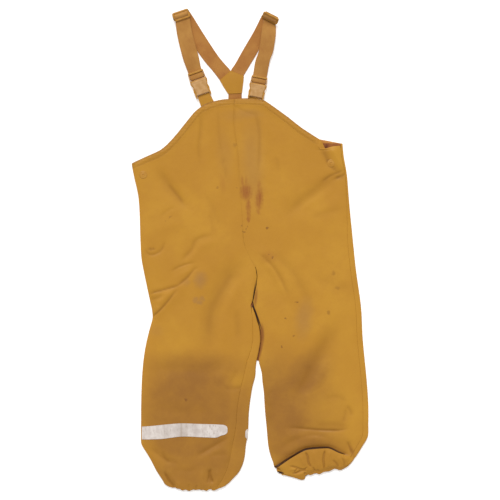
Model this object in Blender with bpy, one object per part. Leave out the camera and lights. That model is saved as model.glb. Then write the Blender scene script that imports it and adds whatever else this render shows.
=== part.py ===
"""Child's bib rain pants, laid flat with the front up.

The garment lies in the XY plane with its straps towards +Y and the floor at Z = 0. Right and left are the
wearer's, so the right leg is on the -X side. Lengths in the tables are millimetres.
"""

import math
from collections import namedtuple

import bmesh
import bpy
import numpy as np
from mathutils import Vector
from mathutils.bvhtree import BVHTree

MM = 0.001

# --- driving sizes, in millimetres ---------------------------------------------------------------
CLOTH = 1.2  # wall of the coated cloth
ELASTIC = 1.5  # wall of the strap webbing
GAP = 0.3  # between pieces that touch
SEAM = 0.15  # half the gap between two panels on the centre seams
LEG_GAP = 0.6  # half the gap between the legs where they touch
LOW = CLOTH + GAP + CLOTH / 2  # middle of a front panel that lies on the back
PILLOW = 2.3  # how far the front rises between its seams
EDGE_ROUND = 3.2  # how quickly it rises from an edge
SIDE_FOLD = 3.0  # height between the walls where the back comes round to the front
HEM_BAND = 9.5  # width of the turned hem on the bib and the armholes
HEM_RISE = 0.8  # its extra thickness
TAB_WALL = 2 * CLOTH
SNAP_RADIUS = 6.2
TAPE_WALL = 0.8

# --- the shared line down the middle: bib, crotch, and the slit where the legs touch --------------
MIDDLE_LINE = (
    # y, x
    (241.0, -25.0),
    (226.0, -25.4),
    (183.0, -23.4),
    (159.0, -19.8),
    (106.0, -16.0),
    (53.0, -12.0),
    (0.0, -6.6),
    (-16.0, 2.0),
    (-31.0, 9.8),
    (-62.0, 9.2),
    (-86.0, 4.4),
    (-110.0, 11.0),
    (-129.0, 16.6),
    (-145.0, 18.2),
    (-161.0, 15.8),
    (-174.0, 12.4),
)
RIGHT_INNER_LEG = (
    (-180.0, 10.4),
    (-204.0, 8.0),
    (-228.0, 4.0),
    (-254.0, 0.2),
    (-284.0, -2.0),
    (-302.0, -5.0),
    (-326.0, -8.0),
    (-345.0, -11.4),
    (-364.0, -21.4),
    (-379.0, -37.0),
)
LEFT_INNER_LEG = (
    (-180.0, 13.6),
    (-193.0, 17.2),
    (-214.0, 22.6),
    (-246.0, 25.4),
    (-286.0, 29.2),
    (-318.0, 32.2),
    (-345.0, 40.4),
    (-360.0, 48.0),
)

# --- rows across each half, from the top of the bib down to the hem -------------------------------
# y_in: where the row starts on the middle line or inner leg; x_out, y_out: where it meets the outline;
# wrap: width of the strip of back panel that comes round to the front; curl: how far that strip has turned
# up; bow, peak: how far the row dips below a straight line, and where; steps: rows up to the next one.
Row = namedtuple("Row", "y_in x_out y_out wrap curl bow peak steps")

RIGHT_BIB = (
    Row(239.8, -78.7, 227.4, 0, 0, -4.0, 0.5, 4),
    Row(226.2, -89.9, 217.8, 0, 0, -1.0, 0.5, 2),
    Row(207.0, -105.6, 198.2, 0, 0, 0, 0.5, 2),
    Row(184.6, -124.8, 175.0, 0, 0, 0, 0.5, 2),
    Row(163.8, -144.0, 157.4, 0, 0, 0, 0.5, 1),
    Row(149.4, -165.6, 148.1, 0, 0, 0, 0.5, 1),
    Row(135.0, -189.4, 137.4, 0, 0, 0, 0.5, 0),
)
RIGHT_SIDE = (
    Row(135.0, -189.4, 137.4, 0, 0, 0, 0.5, 2),
    Row(114.2, -184.3, 113.4, 0, 0, 0, 0.5, 2),
    Row(85.4, -177.6, 85.4, 0, 0, 0, 0.5, 2),
    Row(53.4, -175.0, 53.4, 0, 0, 0, 0.5, 2),
    Row(18.2, -173.8, 18.2, 0, 0, 0, 0.5, 2),
    Row(-10.6, -172.3, -12.2, 0, 0, 0, 0.5, 2),
    Row(-30.6, -169.1, -31.4, 0, 0, 0, 0.5, 2),
    Row(-57.0, -163.8, -58.6, 0, 0, 0, 0.5, 2),
    Row(-85.8, -158.1, -87.4, 0, 0, 0, 0.5, 1),
    Row(-90.5, -157.0, -92.0, 3.5, 0, 0, 0.5, 1),
    Row(-96.0, -156.0, -97.5, 3.5, 1, 0, 0.5, 1),
    Row(-109.8, -155.0, -109.0, 6.0, 1, 0, 0.5, 2),
    Row(-130.6, -160.6, -130.6, 12.0, 1, 0, 0.5, 2),
    Row(-161.0, -166.7, -161.0, 13.5, 1, 0, 0.5, 2),
    Row(-196.2, -170.6, -196.2, 17.0, 1, 0, 0.5, 2),
    Row(-237.8, -172.5, -236.2, 20.0, 1, 0, 0.5, 2),
    Row(-279.4, -173.0, -273.0, 20.0, 1, 0, 0.5, 2),
    Row(-311.4, -172.0, -308.2, 21.0, 1, 0, 0.5, 2),
    Row(-340.2, -157.3, -338.6, 23.0, 1, 2.0, 0.5, 2),
    Row(-361.0, -144.8, -361.8, 22.0, 1, 4.5, 0.5, 3),
    Row(-379.0, -128.0, -379.4, 18.0, 1, 5.6, 0.5, 0),
)
LEFT_BIB = (
    Row(239.8, 23.2, 237.7, 0, 0, -2.2, 0.5, 4),
    Row(226.2, 38.4, 227.3, 0, 0, -1.0, 0.5, 1),
    Row(211.8, 60.8, 211.0, 0, 0, 0, 0.5, 2),
    Row(194.2, 83.2, 193.2, 0, 0, 0, 0.5, 1),
    Row(178.2, 101.6, 181.4, 0, 0, 0, 0.5, 1),
    Row(165.4, 114.1, 173.8, 0, 0, 0, 0.6, 1),
    Row(155.8, 119.7, 160.6, 0, 0, 1.5, 0.7, 1),
    Row(146.2, 132.8, 164.6, 0, 0, 6.4, 0.86, 1),
    Row(135.0, 148.2, 168.9, 3.2, 1, 9.0, 0.82, 0),
)
LEFT_SIDE = (
    Row(135.0, 148.2, 168.9, 3.2, 1, 9.0, 0.82, 1),
    Row(117.4, 149.8, 149.4, 3.2, 1, 5.0, 0.8, 2),
    Row(95.0, 154.9, 123.8, 3.2, 1, 1.5, 0.7, 2),
    Row(71.0, 157.4, 95.0, 3.4, 1, 0, 0.5, 2),
    Row(43.8, 159.7, 66.2, 4.6, 1, 0, 0.5, 2),
    Row(15.0, 162.6, 37.4, 7.0, 1, 0, 0.5, 2),
    Row(-10.6, 165.6, 7.0, 9.0, 1, 0, 0.5, 1),
    Row(-30.6, 168.3, -20.2, 9.0, 1, 0, 0.5, 2),
    Row(-57.0, 172.2, -50.6, 9.0, 1, 0, 0.5, 2),
    Row(-85.8, 177.0, -82.6, 9.0, 1, 0, 0.5, 2),
    Row(-109.8, 179.2, -109.8, 9.0, 1, 0, 0.5, 1),
    Row(-130.6, 179.8, -132.2, 9.0, 1, 0, 0.5, 2),
    Row(-161.0, 182.2, -161.0, 9.0, 1, 0, 0.5, 2),
    Row(-196.2, 185.8, -196.2, 9.0, 1, 0, 0.5, 2),
    Row(-236.2, 189.1, -236.2, 9.0, 1, 0, 0.5, 2),
    Row(-274.6, 189.8, -273.0, 9.0, 1, -2.0, 0.5, 2),
    Row(-301.8, 186.9, -298.6, 8.5, 1, -6.0, 0.5, 2),
    Row(-324.2, 179.7, -315.4, 8.0, 1, -13.0, 0.5, 2),
    Row(-347.4, 170.1, -331.4, 7.0, 1, -21.0, 0.45, 0),
)
LEFT_HEM = Row(-359.6, 158.4, -344.2, 5.0, 1, 8.0, 0.4, 0)

# --- creases of the front: ends, sideways bend at mid length, rise (negative is a trough), half width
Fold = namedtuple("Fold", "x0 y0 x1 y1 bend rise width")
FOLDS = (
    # right side of the body and right leg
    Fold(-150, 124, -98, 66, 0, -1.7, 13),
    Fold(-172, -8, -134, 18, -7, -1.4, 7),
    Fold(-116, -24, -84, 12, 0, -1.2, 8),
    Fold(-160, -73, -90, -34, -9, 2.6, 7),
    Fold(-152, -62, -88, -22, -8, -1.5, 8),
    Fold(-156, -109, -112, -64, 4, 2.8, 7),
    Fold(-150, -94, -114, -56, 4, -1.4, 7),
    Fold(-10, -24, -62, -136, -24, -1.9, 14),
    Fold(-162, -188, -18, -188, -4, -1.6, 11),
    Fold(-40, -222, -6, -219, 0, -1.5, 6),
    Fold(-36, -299, -82, -326, 0, -1.6, 8),
    Fold(-158, -318, -132, -341, 0, -1.4, 7),
    Fold(-137, -354, -122, -381, 3, -1.9, 5),
    Fold(-66, -352, -61, -381, 0, -1.9, 5),
    Fold(-77, 222, -77, 126, 0, -0.8, 9),
    # left side of the body and left leg
    Fold(150, 120, 48, 57, 8, -1.9, 13),
    Fold(8, 0, 66, -82, 12, 1.8, 8),
    Fold(2, -14, 50, -86, 10, -1.4, 8),
    Fold(140, -118, 62, -240, 8, -1.9, 14),
    Fold(152, -250, 160, -270, 3, -1.4, 6),
    Fold(62, -286, 162, -289, 0, -1.7, 5),
    Fold(60, -278, 164, -281, 0, 1.0, 6),
    Fold(13, 212, 17, 136, 0, -1.0, 6),
    Fold(115, 172, 128, 128, 3, -1.6, 7),
)

# --- the folded end of the left leg: the gathered flap lies over the leg above it ------------------
# part of the way to the hem where the cloth runs flat, shift down the leg where it is folded, height
Tuck = namedtuple("Tuck", "part shift z")
TUCKS = (
    Tuck(0.00, -2.0, 2.2),
    Tuck(0.05, 3.2, 2.2),
    Tuck(0.10, 5.2, 2.6),
    Tuck(0.15, 6.0, 3.4),
    Tuck(0.20, 5.0, 4.3),
    Tuck(0.25, 2.2, 4.5),
    Tuck(0.30, 0.4, 4.8),
    Tuck(0.35, -0.2, 5.6),
    Tuck(0.40, 1.0, 6.4),
    Tuck(0.45, 6.0, 6.4),
)
FLAP = ((0.60, 5.2), (0.74, 4.2), (0.87, 3.3), (1.0, 2.8))

# --- straps: left and right edge points of each section --------------------------------------------
Section = namedtuple("Section", "xl yl xr yr")
REAR_RIGHT = (
    Section(-117.6, 371.6, -99.6, 384.0),
    Section(-112.8, 359.0, -92.2, 373.6),
    Section(-96.0, 331.8, -75.0, 345.8),
    Section(-74.8, 299.8, -53.8, 313.4),
    Section(-62.6, 284.6, -43.0, 299.4),
    Section(-48.2, 270.4, -31.4, 285.6),
    Section(-41.0, 260.0, -31.4, 273.6),
)
REAR_LEFT = (
    Section(19.0, 374.2, 40.0, 366.0),
    Section(6.2, 348.6, 25.2, 338.4),
    Section(-10.0, 320.8, 9.2, 310.2),
    Section(-23.2, 297.4, -4.0, 287.8),
    Section(-30.6, 285.6, -10.2, 276.8),
    Section(-30.6, 273.6, -10.6, 266.4),
)
FRONT_RIGHT_STRAP = (
    Section(-119.2, 375.4, -97.8, 382.4),
    Section(-119.0, 363.0, -96.0, 370.6),
    Section(-117.0, 346.0, -93.4, 352.0),
    Section(-113.4, 328.6, -89.2, 334.2),
    Section(-106.8, 303.6, -82.6, 310.4),
)
FRONT_LEFT_STRAP = (
    Section(21.4, 367.4, 41.4, 357.4),
    Section(18.4, 347.8, 41.4, 344.4),
    Section(15.0, 322.4, 38.6, 323.6),
    Section(13.0, 313.4, 36.6, 314.6),
    Section(8.4, 300.0, 32.0, 301.8),
)
YOKE = (
    (-31.0, 285.8),
    (-9.8, 277.4),
    (-10.4, 269.0),
    (-12.8, 249.6),
    (-35.2, 248.6),
    (-43.0, 261.0),
    (-48.4, 270.4),
)

# --- side-release buckle, in its own frame: y runs up its axis from the foot of the socket ---------
SOCKET_OUTLINE = (
    # x, y of its right side
    (10.6, 0.0),
    (10.3, 4.0),
    (10.2, 8.0),
    (10.8, 12.0),
    (12.2, 16.0),
    (13.1, 19.0),
    (13.1, 21.0),
)
ARM_OUTLINE = ((13.4, 21.9), (14.1, 21.8), (14.0, 16.0), (13.2, 11.0), (12.4, 6.0))  # outer side of the right arm
SOCKET_Z = (0.3, 7.0)
RAIL = (11.6, 13.2)  # side rails of the clip, which the strap runs between
SHOULDER = 14.2  # half the width of its base, which the arms grow from
CLIP_TOP = 35.5
BARS = (
    # y low, y high, z low, z high
    (21.3, 24.4, 0.6, 6.2),
    (27.4, 29.6, 1.8, 3.6),
    (32.4, CLIP_TOP, 3.9, 6.2),
)
BUCKLES = {
    # foot x, foot y, turn in degrees
    "right": (-74.9, 248.4, 19.8),
    "left": (9.4, 243.6, -10.8),
}
SLIDER_XS = (-13.6, -10.9, 10.9, 13.6)
SLIDER_YS = (-7.0, -4.4, -1.3, 1.3, 4.4, 7.0)
SLIDER_WALL = 2.4


# --- materials ---------------------------------------------------------------------------------------
def material(name, colour, roughness, metallic=0.0):
    """A plain finish with the given base colour."""
    finish = bpy.data.materials.new(name)
    finish.use_nodes = True
    shader = finish.node_tree.nodes["Principled BSDF"]
    shader.inputs["Base Color"].default_value = (*colour, 1.0)
    shader.inputs["Roughness"].default_value = roughness
    shader.inputs["Metallic"].default_value = metallic
    return finish


COATED_CLOTH = (0.50, 0.26, 0.04)
WEBBING = (0.45, 0.21, 0.045)
CLIP_PLASTIC = (0.52, 0.29, 0.07)
SOCKET_PLASTIC = (0.60, 0.36, 0.15)
SNAP_PLASTIC = (0.50, 0.25, 0.05)
TAPE = (0.66, 0.60, 0.56)


# --- curves and distances ------------------------------------------------------------------------------
def smooth_rows(table, parts_of):
    """The table's rows with more rows between them, on smooth curves through every column."""
    values = np.array([row[:-1] for row in table], float)
    count = len(values)
    filled = []
    for i in range(count - 1):
        before, start = values[max(i - 1, 0)], values[i]
        end, after = values[i + 1], values[min(i + 2, count - 1)]
        for t in parts_of(i, table[i]):
            bend = (end - before) * t + (2 * before - 5 * start + 4 * end - after) * t**2
            bend = bend + (3 * start - before - 3 * end + after) * t**3
            filled.append(start + 0.5 * bend)
    filled.append(values[-1])
    filled = np.array(filled)
    filled[:, 4] = np.clip(filled[:, 4], 0, 1)
    filled[:, 3] = np.where(filled[:, 3] < 1.0, 0.0, np.maximum(filled[:, 3], 3.2))
    return filled


def even_parts(index, row):
    return [k / row.steps for k in range(row.steps)]


def bib_parts(index, row):
    """As even_parts, but the first stretch has rows on both sides of the turned hem's edge."""
    if index:
        return even_parts(index, row)
    return [0.0, 0.12, 0.64, 0.82]


def through(points):
    """A smooth function x(y) through a list of (y, x) points that run down the garment."""
    ys = np.array([p[0] for p in points])[::-1]
    xs = np.array([p[1] for p in points])[::-1]
    slopes = np.gradient(xs, ys)

    def x_at(y):
        y = min(max(y, ys[0]), ys[-1])
        k = min(int(np.searchsorted(ys, y, side="right")) - 1, len(ys) - 2)
        step = ys[k + 1] - ys[k]
        t = (y - ys[k]) / step
        rise = xs[k + 1] - xs[k]
        ends = slopes[k] * step * t * (1 - t) ** 2 - slopes[k + 1] * step * t**2 * (1 - t)
        return xs[k] + rise * t * t * (3 - 2 * t) + ends

    return x_at


def smooth(t):
    """0 below 0, 1 above 1, and an even slope between."""
    t = np.clip(t, 0.0, 1.0)
    return t * t * (3 - 2 * t)


def distance_to(points, line):
    """How far each (x, y) point lies from a line of points."""
    best = np.full(points.shape[:-1], np.inf)
    for a, b in zip(line[:-1], line[1:]):
        run = b - a
        part = np.clip(((points - a) @ run) / max(run @ run, 1e-9), 0, 1)
        away = np.linalg.norm(points - a - part[..., None] * run, axis=-1)
        best = np.minimum(best, away)
    return best


def folds_at(points):
    """The rise of all the creases at each (x, y) point."""
    total = np.zeros(points.shape[:-1])
    for fold in FOLDS:
        start = np.array((fold.x0, fold.y0), float)
        run = np.array((fold.x1, fold.y1), float) - start
        length = np.linalg.norm(run)
        side = np.array((-run[1], run[0])) / length
        part = ((points - start) @ run) / length**2
        inside = np.clip(part, 0, 1)
        off = (points - start) @ side - fold.bend * 4 * inside * (1 - inside)
        past = (np.maximum(part - 1, 0) + np.maximum(-part, 0)) * length
        fade = smooth(0.25 + 3 * inside) * smooth(0.25 + 3 * (1 - inside))
        total += fold.rise * fade * np.exp(-((off / fold.width) ** 2) - (past / fold.width) ** 2)
    return total


# --- grids of points ----------------------------------------------------------------------------------
def row_shape(u, peak):
    """The dip of a row along its length, 1 at its peak."""
    power = peak / (1 - peak)
    return u**power * (1 - u) / (peak**power * (1 - peak))


def row_points(row, x_in, parts):
    """Points (x, y) at the given parts of a row's length, 0 on the middle and 1 on the outline."""
    inner = np.array((x_in, row[0]))
    outer = np.array(row[1:3])
    points = inner + (outer - inner) * parts[:, None]
    points[:, 1] -= row[5] * row_shape(parts, row[6])
    return points


FRONT_OUT = (0.0, 1.4, 4.0, 9.0, 11.0)
FRONT_IN = (9.0, 4.0, 1.4, 0.0)
FRONT_MIDDLE = 11


def front_parts(length, off_in, off_out):
    """Where a front panel's columns lie, as parts of the row, closer together near both edges."""
    ends = [off_in + d for d in reversed(FRONT_IN)]
    outs = [length - off_out - d for d in reversed(FRONT_OUT)]
    middle = np.linspace(ends[-1], outs[0], FRONT_MIDDLE + 1)[1:-1]
    return np.concatenate([ends, middle, outs]) / length


FOLD_RADIUS = SIDE_FOLD / 2
FOLD_IN = FOLD_RADIUS + CLOTH / 2  # from the outline to the middle of the turned edge
ARC = np.radians((90, 45, 0, -45, -90))
STRIP_FLAT = (0.0, 1.0, 2.0, 3.0, 4.0, 5.0, 6.0)
BACK_FLAT = 4


def back_columns(length, wrap, curl, near, far):
    """Distances from the wrapped edge and heights of a back panel's columns, strip first."""
    run_end = max(wrap, FOLD_IN + 0.8)
    away = [run_end, (run_end + FOLD_IN) / 2] + [FOLD_IN - FOLD_RADIUS * math.cos(a) for a in ARC]
    away = [d + near for d in away]
    top = CLOTH / 2 + SIDE_FOLD
    height = [top, top] + [CLOTH / 2 + FOLD_RADIUS * (1 + math.sin(a)) for a in ARC]
    flat = np.array(STRIP_FLAT) + near
    away = np.array(away) * curl + flat * (1 - curl)
    height = np.array(height) * curl + CLOTH / 2 * (1 - curl)
    rest = np.linspace(max(away[-1], 2.0) + 4.5, length - far, BACK_FLAT)
    return np.concatenate([away, rest]), np.concatenate([height, np.full(BACK_FLAT, CLOTH / 2)])


def grid_normals(points, upward):
    """Unit normals of a grid of points; upward is a point of the grid whose normal points up."""
    across = np.gradient(points, axis=1)
    down = np.gradient(points, axis=0)
    normals = np.cross(across, down)
    normals /= np.linalg.norm(normals, axis=2, keepdims=True)
    return normals if normals[upward][2] > 0 else -normals


# --- solids ---------------------------------------------------------------------------------------------
def finish_object(name, mesh_data, finish, smooth_angle=None):
    """Turns a bmesh in millimetres into a named object at the origin."""
    bmesh.ops.recalc_face_normals(mesh_data, faces=mesh_data.faces)
    bmesh.ops.scale(mesh_data, vec=(MM, MM, MM), verts=mesh_data.verts)
    mesh = bpy.data.meshes.new(name)
    mesh_data.to_mesh(mesh)
    mesh_data.free()
    mesh.materials.append(finish)
    if smooth_angle is not None:
        mesh.shade_smooth()
        mesh.set_sharp_from_angle(angle=math.radians(smooth_angle))
    thing = bpy.data.objects.new(name, mesh)
    bpy.context.scene.collection.objects.link(thing)
    return thing


def wall(name, outer, inner, finish):
    """A closed wall between two grids of points of the same size."""
    rows, columns = outer.shape[:2]
    shape = bmesh.new()
    grids = [[[shape.verts.new(p) for p in row] for row in grid] for grid in (outer, inner)]
    for grid in grids:
        for i in range(rows - 1):
            for j in range(columns - 1):
                shape.faces.new((grid[i][j], grid[i][j + 1], grid[i + 1][j + 1], grid[i + 1][j]))
    rim = [(0, j) for j in range(columns)]
    rim += [(i, columns - 1) for i in range(1, rows)]
    rim += [(rows - 1, j) for j in reversed(range(columns - 1))]
    rim += [(i, 0) for i in reversed(range(1, rows - 1))]
    for here, there in zip(rim, rim[1:] + rim[:1]):
        a, b = (grids[0][i][j] for i, j in (here, there))
        c, d = (grids[1][i][j] for i, j in (there, here))
        shape.faces.new((a, b, c, d))
    return finish_object(name, shape, finish, 40)


def slab(name, outline, low, high, finish):
    """A flat piece of an (x, y) outline between two heights."""
    shape = bmesh.new()
    face = shape.faces.new([shape.verts.new((x, y, low)) for x, y in outline])
    grown = bmesh.ops.extrude_face_region(shape, geom=[face])
    lifted = [v for v in grown["geom"] if isinstance(v, bmesh.types.BMVert)]
    bmesh.ops.translate(shape, vec=(0, 0, high - low), verts=lifted)
    return finish_object(name, shape, finish)


def placed(point, place):
    """A point of a buckle's own frame in the garment's frame."""
    foot_x, foot_y, degrees = place
    turn = math.radians(degrees)
    x, y = point
    return (
        foot_x + x * math.cos(turn) - y * math.sin(turn),
        foot_y + x * math.sin(turn) + y * math.cos(turn),
    )


# --- the four panels ------------------------------------------------------------------------------------
def half_gap(y):
    """Half the gap on the line down the middle: a seam above the crotch, two legs side by side below."""
    return float(SEAM + (LEG_GAP - SEAM) * smooth((2.0 - y) / 22.0))


def front_offsets(row, left, lower):
    """How far a front panel stops inside its row's inner and outer ends."""
    if left:
        return half_gap(row[0]), row[3] + SEAM + GAP if lower else SEAM
    return half_gap(row[0]) + (row[3] + GAP if row[3] > 0 else 0), SEAM


def front_grid(left):
    """The (x, y) points of a front panel's middle surface, and the number of its armpit's row."""
    bib, side = (LEFT_BIB, LEFT_SIDE) if left else (RIGHT_BIB, RIGHT_SIDE)
    inner_x = through(MIDDLE_LINE + (LEFT_INNER_LEG if left else RIGHT_INNER_LEG))

    def points_of(row, lower):
        x_in = inner_x(row[0])
        length = math.dist((x_in, row[0]), row[1:3])
        return row_points(row, x_in, front_parts(length, *front_offsets(row, left, lower)))

    upper = smooth_rows(bib, bib_parts)
    lower = smooth_rows(side, even_parts)
    armpit = len(upper) - 1
    grid = [points_of(row, False) for row in upper[:-1]] + [points_of(row, True) for row in lower]
    if left:
        fold = grid.pop()
        hem = points_of(np.array(LEFT_HEM[:-1], float), True)
        parts = [tuck.part for tuck in TUCKS] + [part for part, _ in FLAP]
        grid.extend(fold + (hem - fold) * part for part in parts)
    return np.array(grid), armpit


def front_heights(flat, armpit, left):
    """How high the middle of a front panel lies over each of its points."""
    free_edge = np.concatenate([flat[0], flat[: armpit + 1, -1]])
    from_free = distance_to(flat, free_edge)
    from_side = distance_to(flat, flat[armpit:, -1])
    in_leg = smooth((-22.0 - flat[..., 1]) / 26.0)
    crotch = int(np.searchsorted(-flat[:, 0, 1], 24.0))
    from_inner = distance_to(flat, flat[crotch:, 0])
    from_hem = distance_to(flat, flat[-1])

    def rises(away, at_edge):
        return 1 - (1 - at_edge) * np.exp(-((away / EDGE_ROUND) ** 1.3))

    turned = (SIDE_FOLD + CLOTH / 2 - LOW) / PILLOW
    side_edge = turned if left else 0.0
    inner_edge = 0.0 if left else turned * smooth((-86.0 - flat[..., 1]) / 5.0)
    lift = PILLOW * rises(from_free, 0.1) * rises(from_side, side_edge)
    lift = lift * (1 + (rises(from_inner, inner_edge) - 1) * in_leg) * rises(from_hem, 0.4)
    away = np.minimum(np.minimum(from_side, from_free), np.where(in_leg > 0, from_inner, 99.0))
    lift = lift + folds_at(flat) * (1 - np.exp(-away / 7.0)) * (1 - 0.5 * np.exp(-from_hem / 6.0))
    lift = 0.5 * (lift + np.sqrt(lift**2 + 0.1))
    gathers = np.where(np.arange(flat.shape[1]) % 2, 1.0, -1.0)
    gathers[[0, 1, -2, -1]] = 0
    lift = lift + 0.6 * gathers * np.exp(-from_hem / 14.0) * (1 - np.exp(-away / 5.0))
    flat[..., 1] += 0.8 * gathers * np.exp(-from_hem / 5.0)
    return LOW + np.maximum(lift, 0.0), from_free


def fold_flap(flat, height):
    """Folds the end of the left leg: its flap comes back over the leg, most in the middle."""
    columns = flat.shape[1]
    u = np.linspace(0, 1, columns)
    folded = smooth((u - 0.10) / 0.16) * smooth((0.86 - u) / 0.18)
    raised = smooth((u - 0.02) / 0.12) * smooth((0.97 - u) / 0.16)
    first = len(flat) - len(TUCKS) - len(FLAP)
    fold = flat[first].copy()
    towards = flat[-1] - fold
    towards /= np.linalg.norm(towards, axis=1, keepdims=True)
    for k, tuck in enumerate(TUCKS):
        i = first + k
        shifted = fold + towards * tuck.shift
        flat[i] += (shifted - flat[i]) * folded[:, None]
        height[i] += (tuck.z - height[i]) * raised
    for k, (_, z) in enumerate(FLAP[:-1]):
        i = first + len(TUCKS) + k
        height[i] += (z - height[i]) * raised
    for k, share in enumerate((0.75, 0.4)):
        i = first - 1 - k
        height[i] += (TUCKS[0].z - height[i]) * raised * share


def front_panel(name, left, finish):
    """A front panel: bib, half the body and the front of one leg."""
    flat, armpit = front_grid(left)
    height, from_free = front_heights(flat, armpit, left)
    if left:
        fold_flap(flat, height)
    middle = np.concatenate([flat, height[..., None]], axis=2)
    normals = grid_normals(middle, (armpit, FRONT_MIDDLE))
    band = smooth((HEM_BAND + 1.5 - from_free) / 2.5) * HEM_RISE
    outer = middle + normals * (CLOTH / 2 + band[..., None])
    inner = middle - normals * (CLOTH / 2)
    return wall(name, outer, inner, finish)


BACK_RISE = 67.0  # the back's middle ends this much higher than the armpit's row of the front
BACK_SEAM = ((-31.0, 9.8), (202.0, -23.9))  # y and x of the ends of the straight centre-back seam


def back_panel(name, left, finish):
    """A back panel, flat on the floor, with the strip that comes round to the front."""
    side = LEFT_SIDE if left else RIGHT_SIDE
    leg_x = through(MIDDLE_LINE + (LEFT_INNER_LEG if left else RIGHT_INNER_LEG))
    (crotch, crotch_x), (seam_top, top_x) = BACK_SEAM

    def inner_x(y):
        if y < crotch:
            return leg_x(y)
        return crotch_x + (top_x - crotch_x) * (y - crotch) / (seam_top - crotch)

    rows = smooth_rows(side, even_parts)
    top = rows[0, 0]
    above = np.clip((rows[:, 0] - crotch) / (top - crotch), 0, 1)
    rows[:, 0] += BACK_RISE * above**3
    rows[:, 5] *= 1 - above
    grid = [back_row(row, inner_x, left) for row in rows]
    if left:
        fold = grid.pop()
        hem = back_row(np.array(LEFT_HEM[:-1], float), inner_x, left)
        grid.extend(fold + (hem - fold) * part for part in (0.0, 0.5, 1.0))
    middle = np.array(grid)
    normals = grid_normals(middle, (2, -2))
    return wall(name, middle - normals * (CLOTH / 2), middle + normals * (CLOTH / 2), finish)


def back_row(row, inner_x, left):
    """One row of a back panel's middle surface, starting at its wrapped edge."""
    x_in = inner_x(row[0])
    length = math.dist((x_in, row[0]), row[1:3])
    on_middle, on_outline = half_gap(row[0]), SEAM
    near, far = (on_outline, on_middle) if left else (on_middle, on_outline)
    away, height = back_columns(length, row[3], row[4], near, far)
    parts = 1 - away / length if left else away / length
    points = row_points(row, x_in, parts)
    return np.concatenate([points, height[:, None]], axis=1)


# --- what lies on the panels ---------------------------------------------------------------------------
def surface_of(thing):
    """A function that gives the height of a piece's upper face, in millimetres."""
    mesh = thing.data
    tree = BVHTree.FromPolygons([v.co for v in mesh.vertices], [p.vertices[:] for p in mesh.polygons])

    def top_at(x, y, reach):
        spots = [(0, 0)]
        spots += [(reach * math.cos(a), reach * math.sin(a)) for a in np.radians(range(0, 360, 45))]
        best = 0.0
        for dx, dy in spots:
            start = Vector(((x + dx) * MM, (y + dy) * MM, 1.0))
            hit = tree.ray_cast(start, Vector((0, 0, -1)))[0]
            if hit is not None:
                best = max(best, hit.z / MM)
        return best

    return top_at


TAPE_COLUMNS = 3
TAPE_REACH = 2.5  # the tape clears the panel's highest point this near to each of its own


def band_on(name, top_at, sections, finish):
    """Reflective tape made from a panel's own points, moved out. Sections are (x, y high, y low)."""
    xs, highs, lows = np.array(sections, float).T
    grid = []
    for part in np.linspace(0, 1, TAPE_COLUMNS + 1):
        ys = highs + (lows - highs) * part
        grid.append([(x, y, top_at(x, y, TAPE_REACH) + GAP) for x, y in zip(xs, ys)])
    inner = np.array(grid)
    outer = inner + np.array((0, 0, TAPE_WALL))
    return wall(name, outer, inner, finish)


TAPE_SECTIONS = (
    # x, upper edge, lower edge
    (-171.6, -283.0, -303.6),
    (-166.0, -282.8, -303.6),
    (-156.0, -282.0, -303.4),
    (-141.0, -280.4, -302.8),
    (-126.0, -279.0, -301.4),
    (-112.0, -278.0, -300.2),
    (-97.0, -278.2, -300.0),
    (-82.0, -278.8, -300.6),
    (-67.0, -279.2, -301.0),
    (-54.0, -279.6, -301.0),
    (-46.0, -280.0, -297.6),
    (-41.0, -280.6, -296.2),
    (-38.0, -282.0, -294.6),
    (-36.0, -285.4, -291.6),
)
BACK_TAPE_END = (
    (-7.4, -290.6, -299.0),
    (-6.4, -289.0, -301.0),
    (-4.6, -288.0, -302.4),
)


SNAPS = {"right": (-170.6, 119.2), "left": (129.6, 137.6)}
SNAP_PROFILE = (
    # radius, height over the cloth
    (0.0, 1.3),
    (1.6, 1.2),
    (2.4, 1.6),
    (4.2, 1.7),
    (5.2, 1.3),
    (SNAP_RADIUS, 0.7),
    (SNAP_RADIUS, 0.0),
)


def snap(name, x, y, top, finish):
    """A press snap's cap: a turned disc with a raised rim and a dimple."""
    base = top + GAP
    shape = bmesh.new()
    spots = [shape.verts.new((radius, 0, base + z)) for radius, z in SNAP_PROFILE]
    spots.append(shape.verts.new((0, 0, base)))
    for a, b in zip(spots[:-1], spots[1:]):
        shape.edges.new((a, b))
    bmesh.ops.spin(
        shape,
        geom=shape.verts[:] + shape.edges[:],
        cent=(0, 0, 0),
        axis=(0, 0, 1),
        angle=math.tau,
        steps=16,
        use_merge=True,
    )
    bmesh.ops.remove_doubles(shape, verts=shape.verts, dist=0.001)
    bmesh.ops.translate(shape, vec=(x, y, 0), verts=shape.verts)
    return finish_object(name, shape, finish, 30)


# --- straps and their fittings ---------------------------------------------------------------------------
BACK_ELASTIC = (-34.6, 203.4, -13.2, 258.0)  # x, y of its lower left and upper right corners


def strap_outline(sections):
    """The outline of a rear strap, which lies flat on the floor."""
    return [(s.xl, s.yl) for s in sections] + [(s.xr, s.yr) for s in reversed(sections)]


STRAP_HALF = 11.2  # half the strap's width inside the buckle
UPPER_LAYER = ELASTIC + GAP
OVER_REAR = ELASTIC + GAP + ELASTIC / 2
ON_FLOOR = ELASTIC / 2
LOOP_CENTRE = (27.6, 2.7)  # y and z of the turn round the clip's strap bar
LOOP_RADIUS = 1.95
# y in the buckle's frame and z of the upper layer, under the top bar and over the strap bar
THREADING = ((38.5, 2.55), (33.6, 2.6), (31.8, 3.1), (30.6, 4.2), (29.6, 4.65))
LOWER_RUN = (30.0, 34.0, 38.5)


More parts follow.
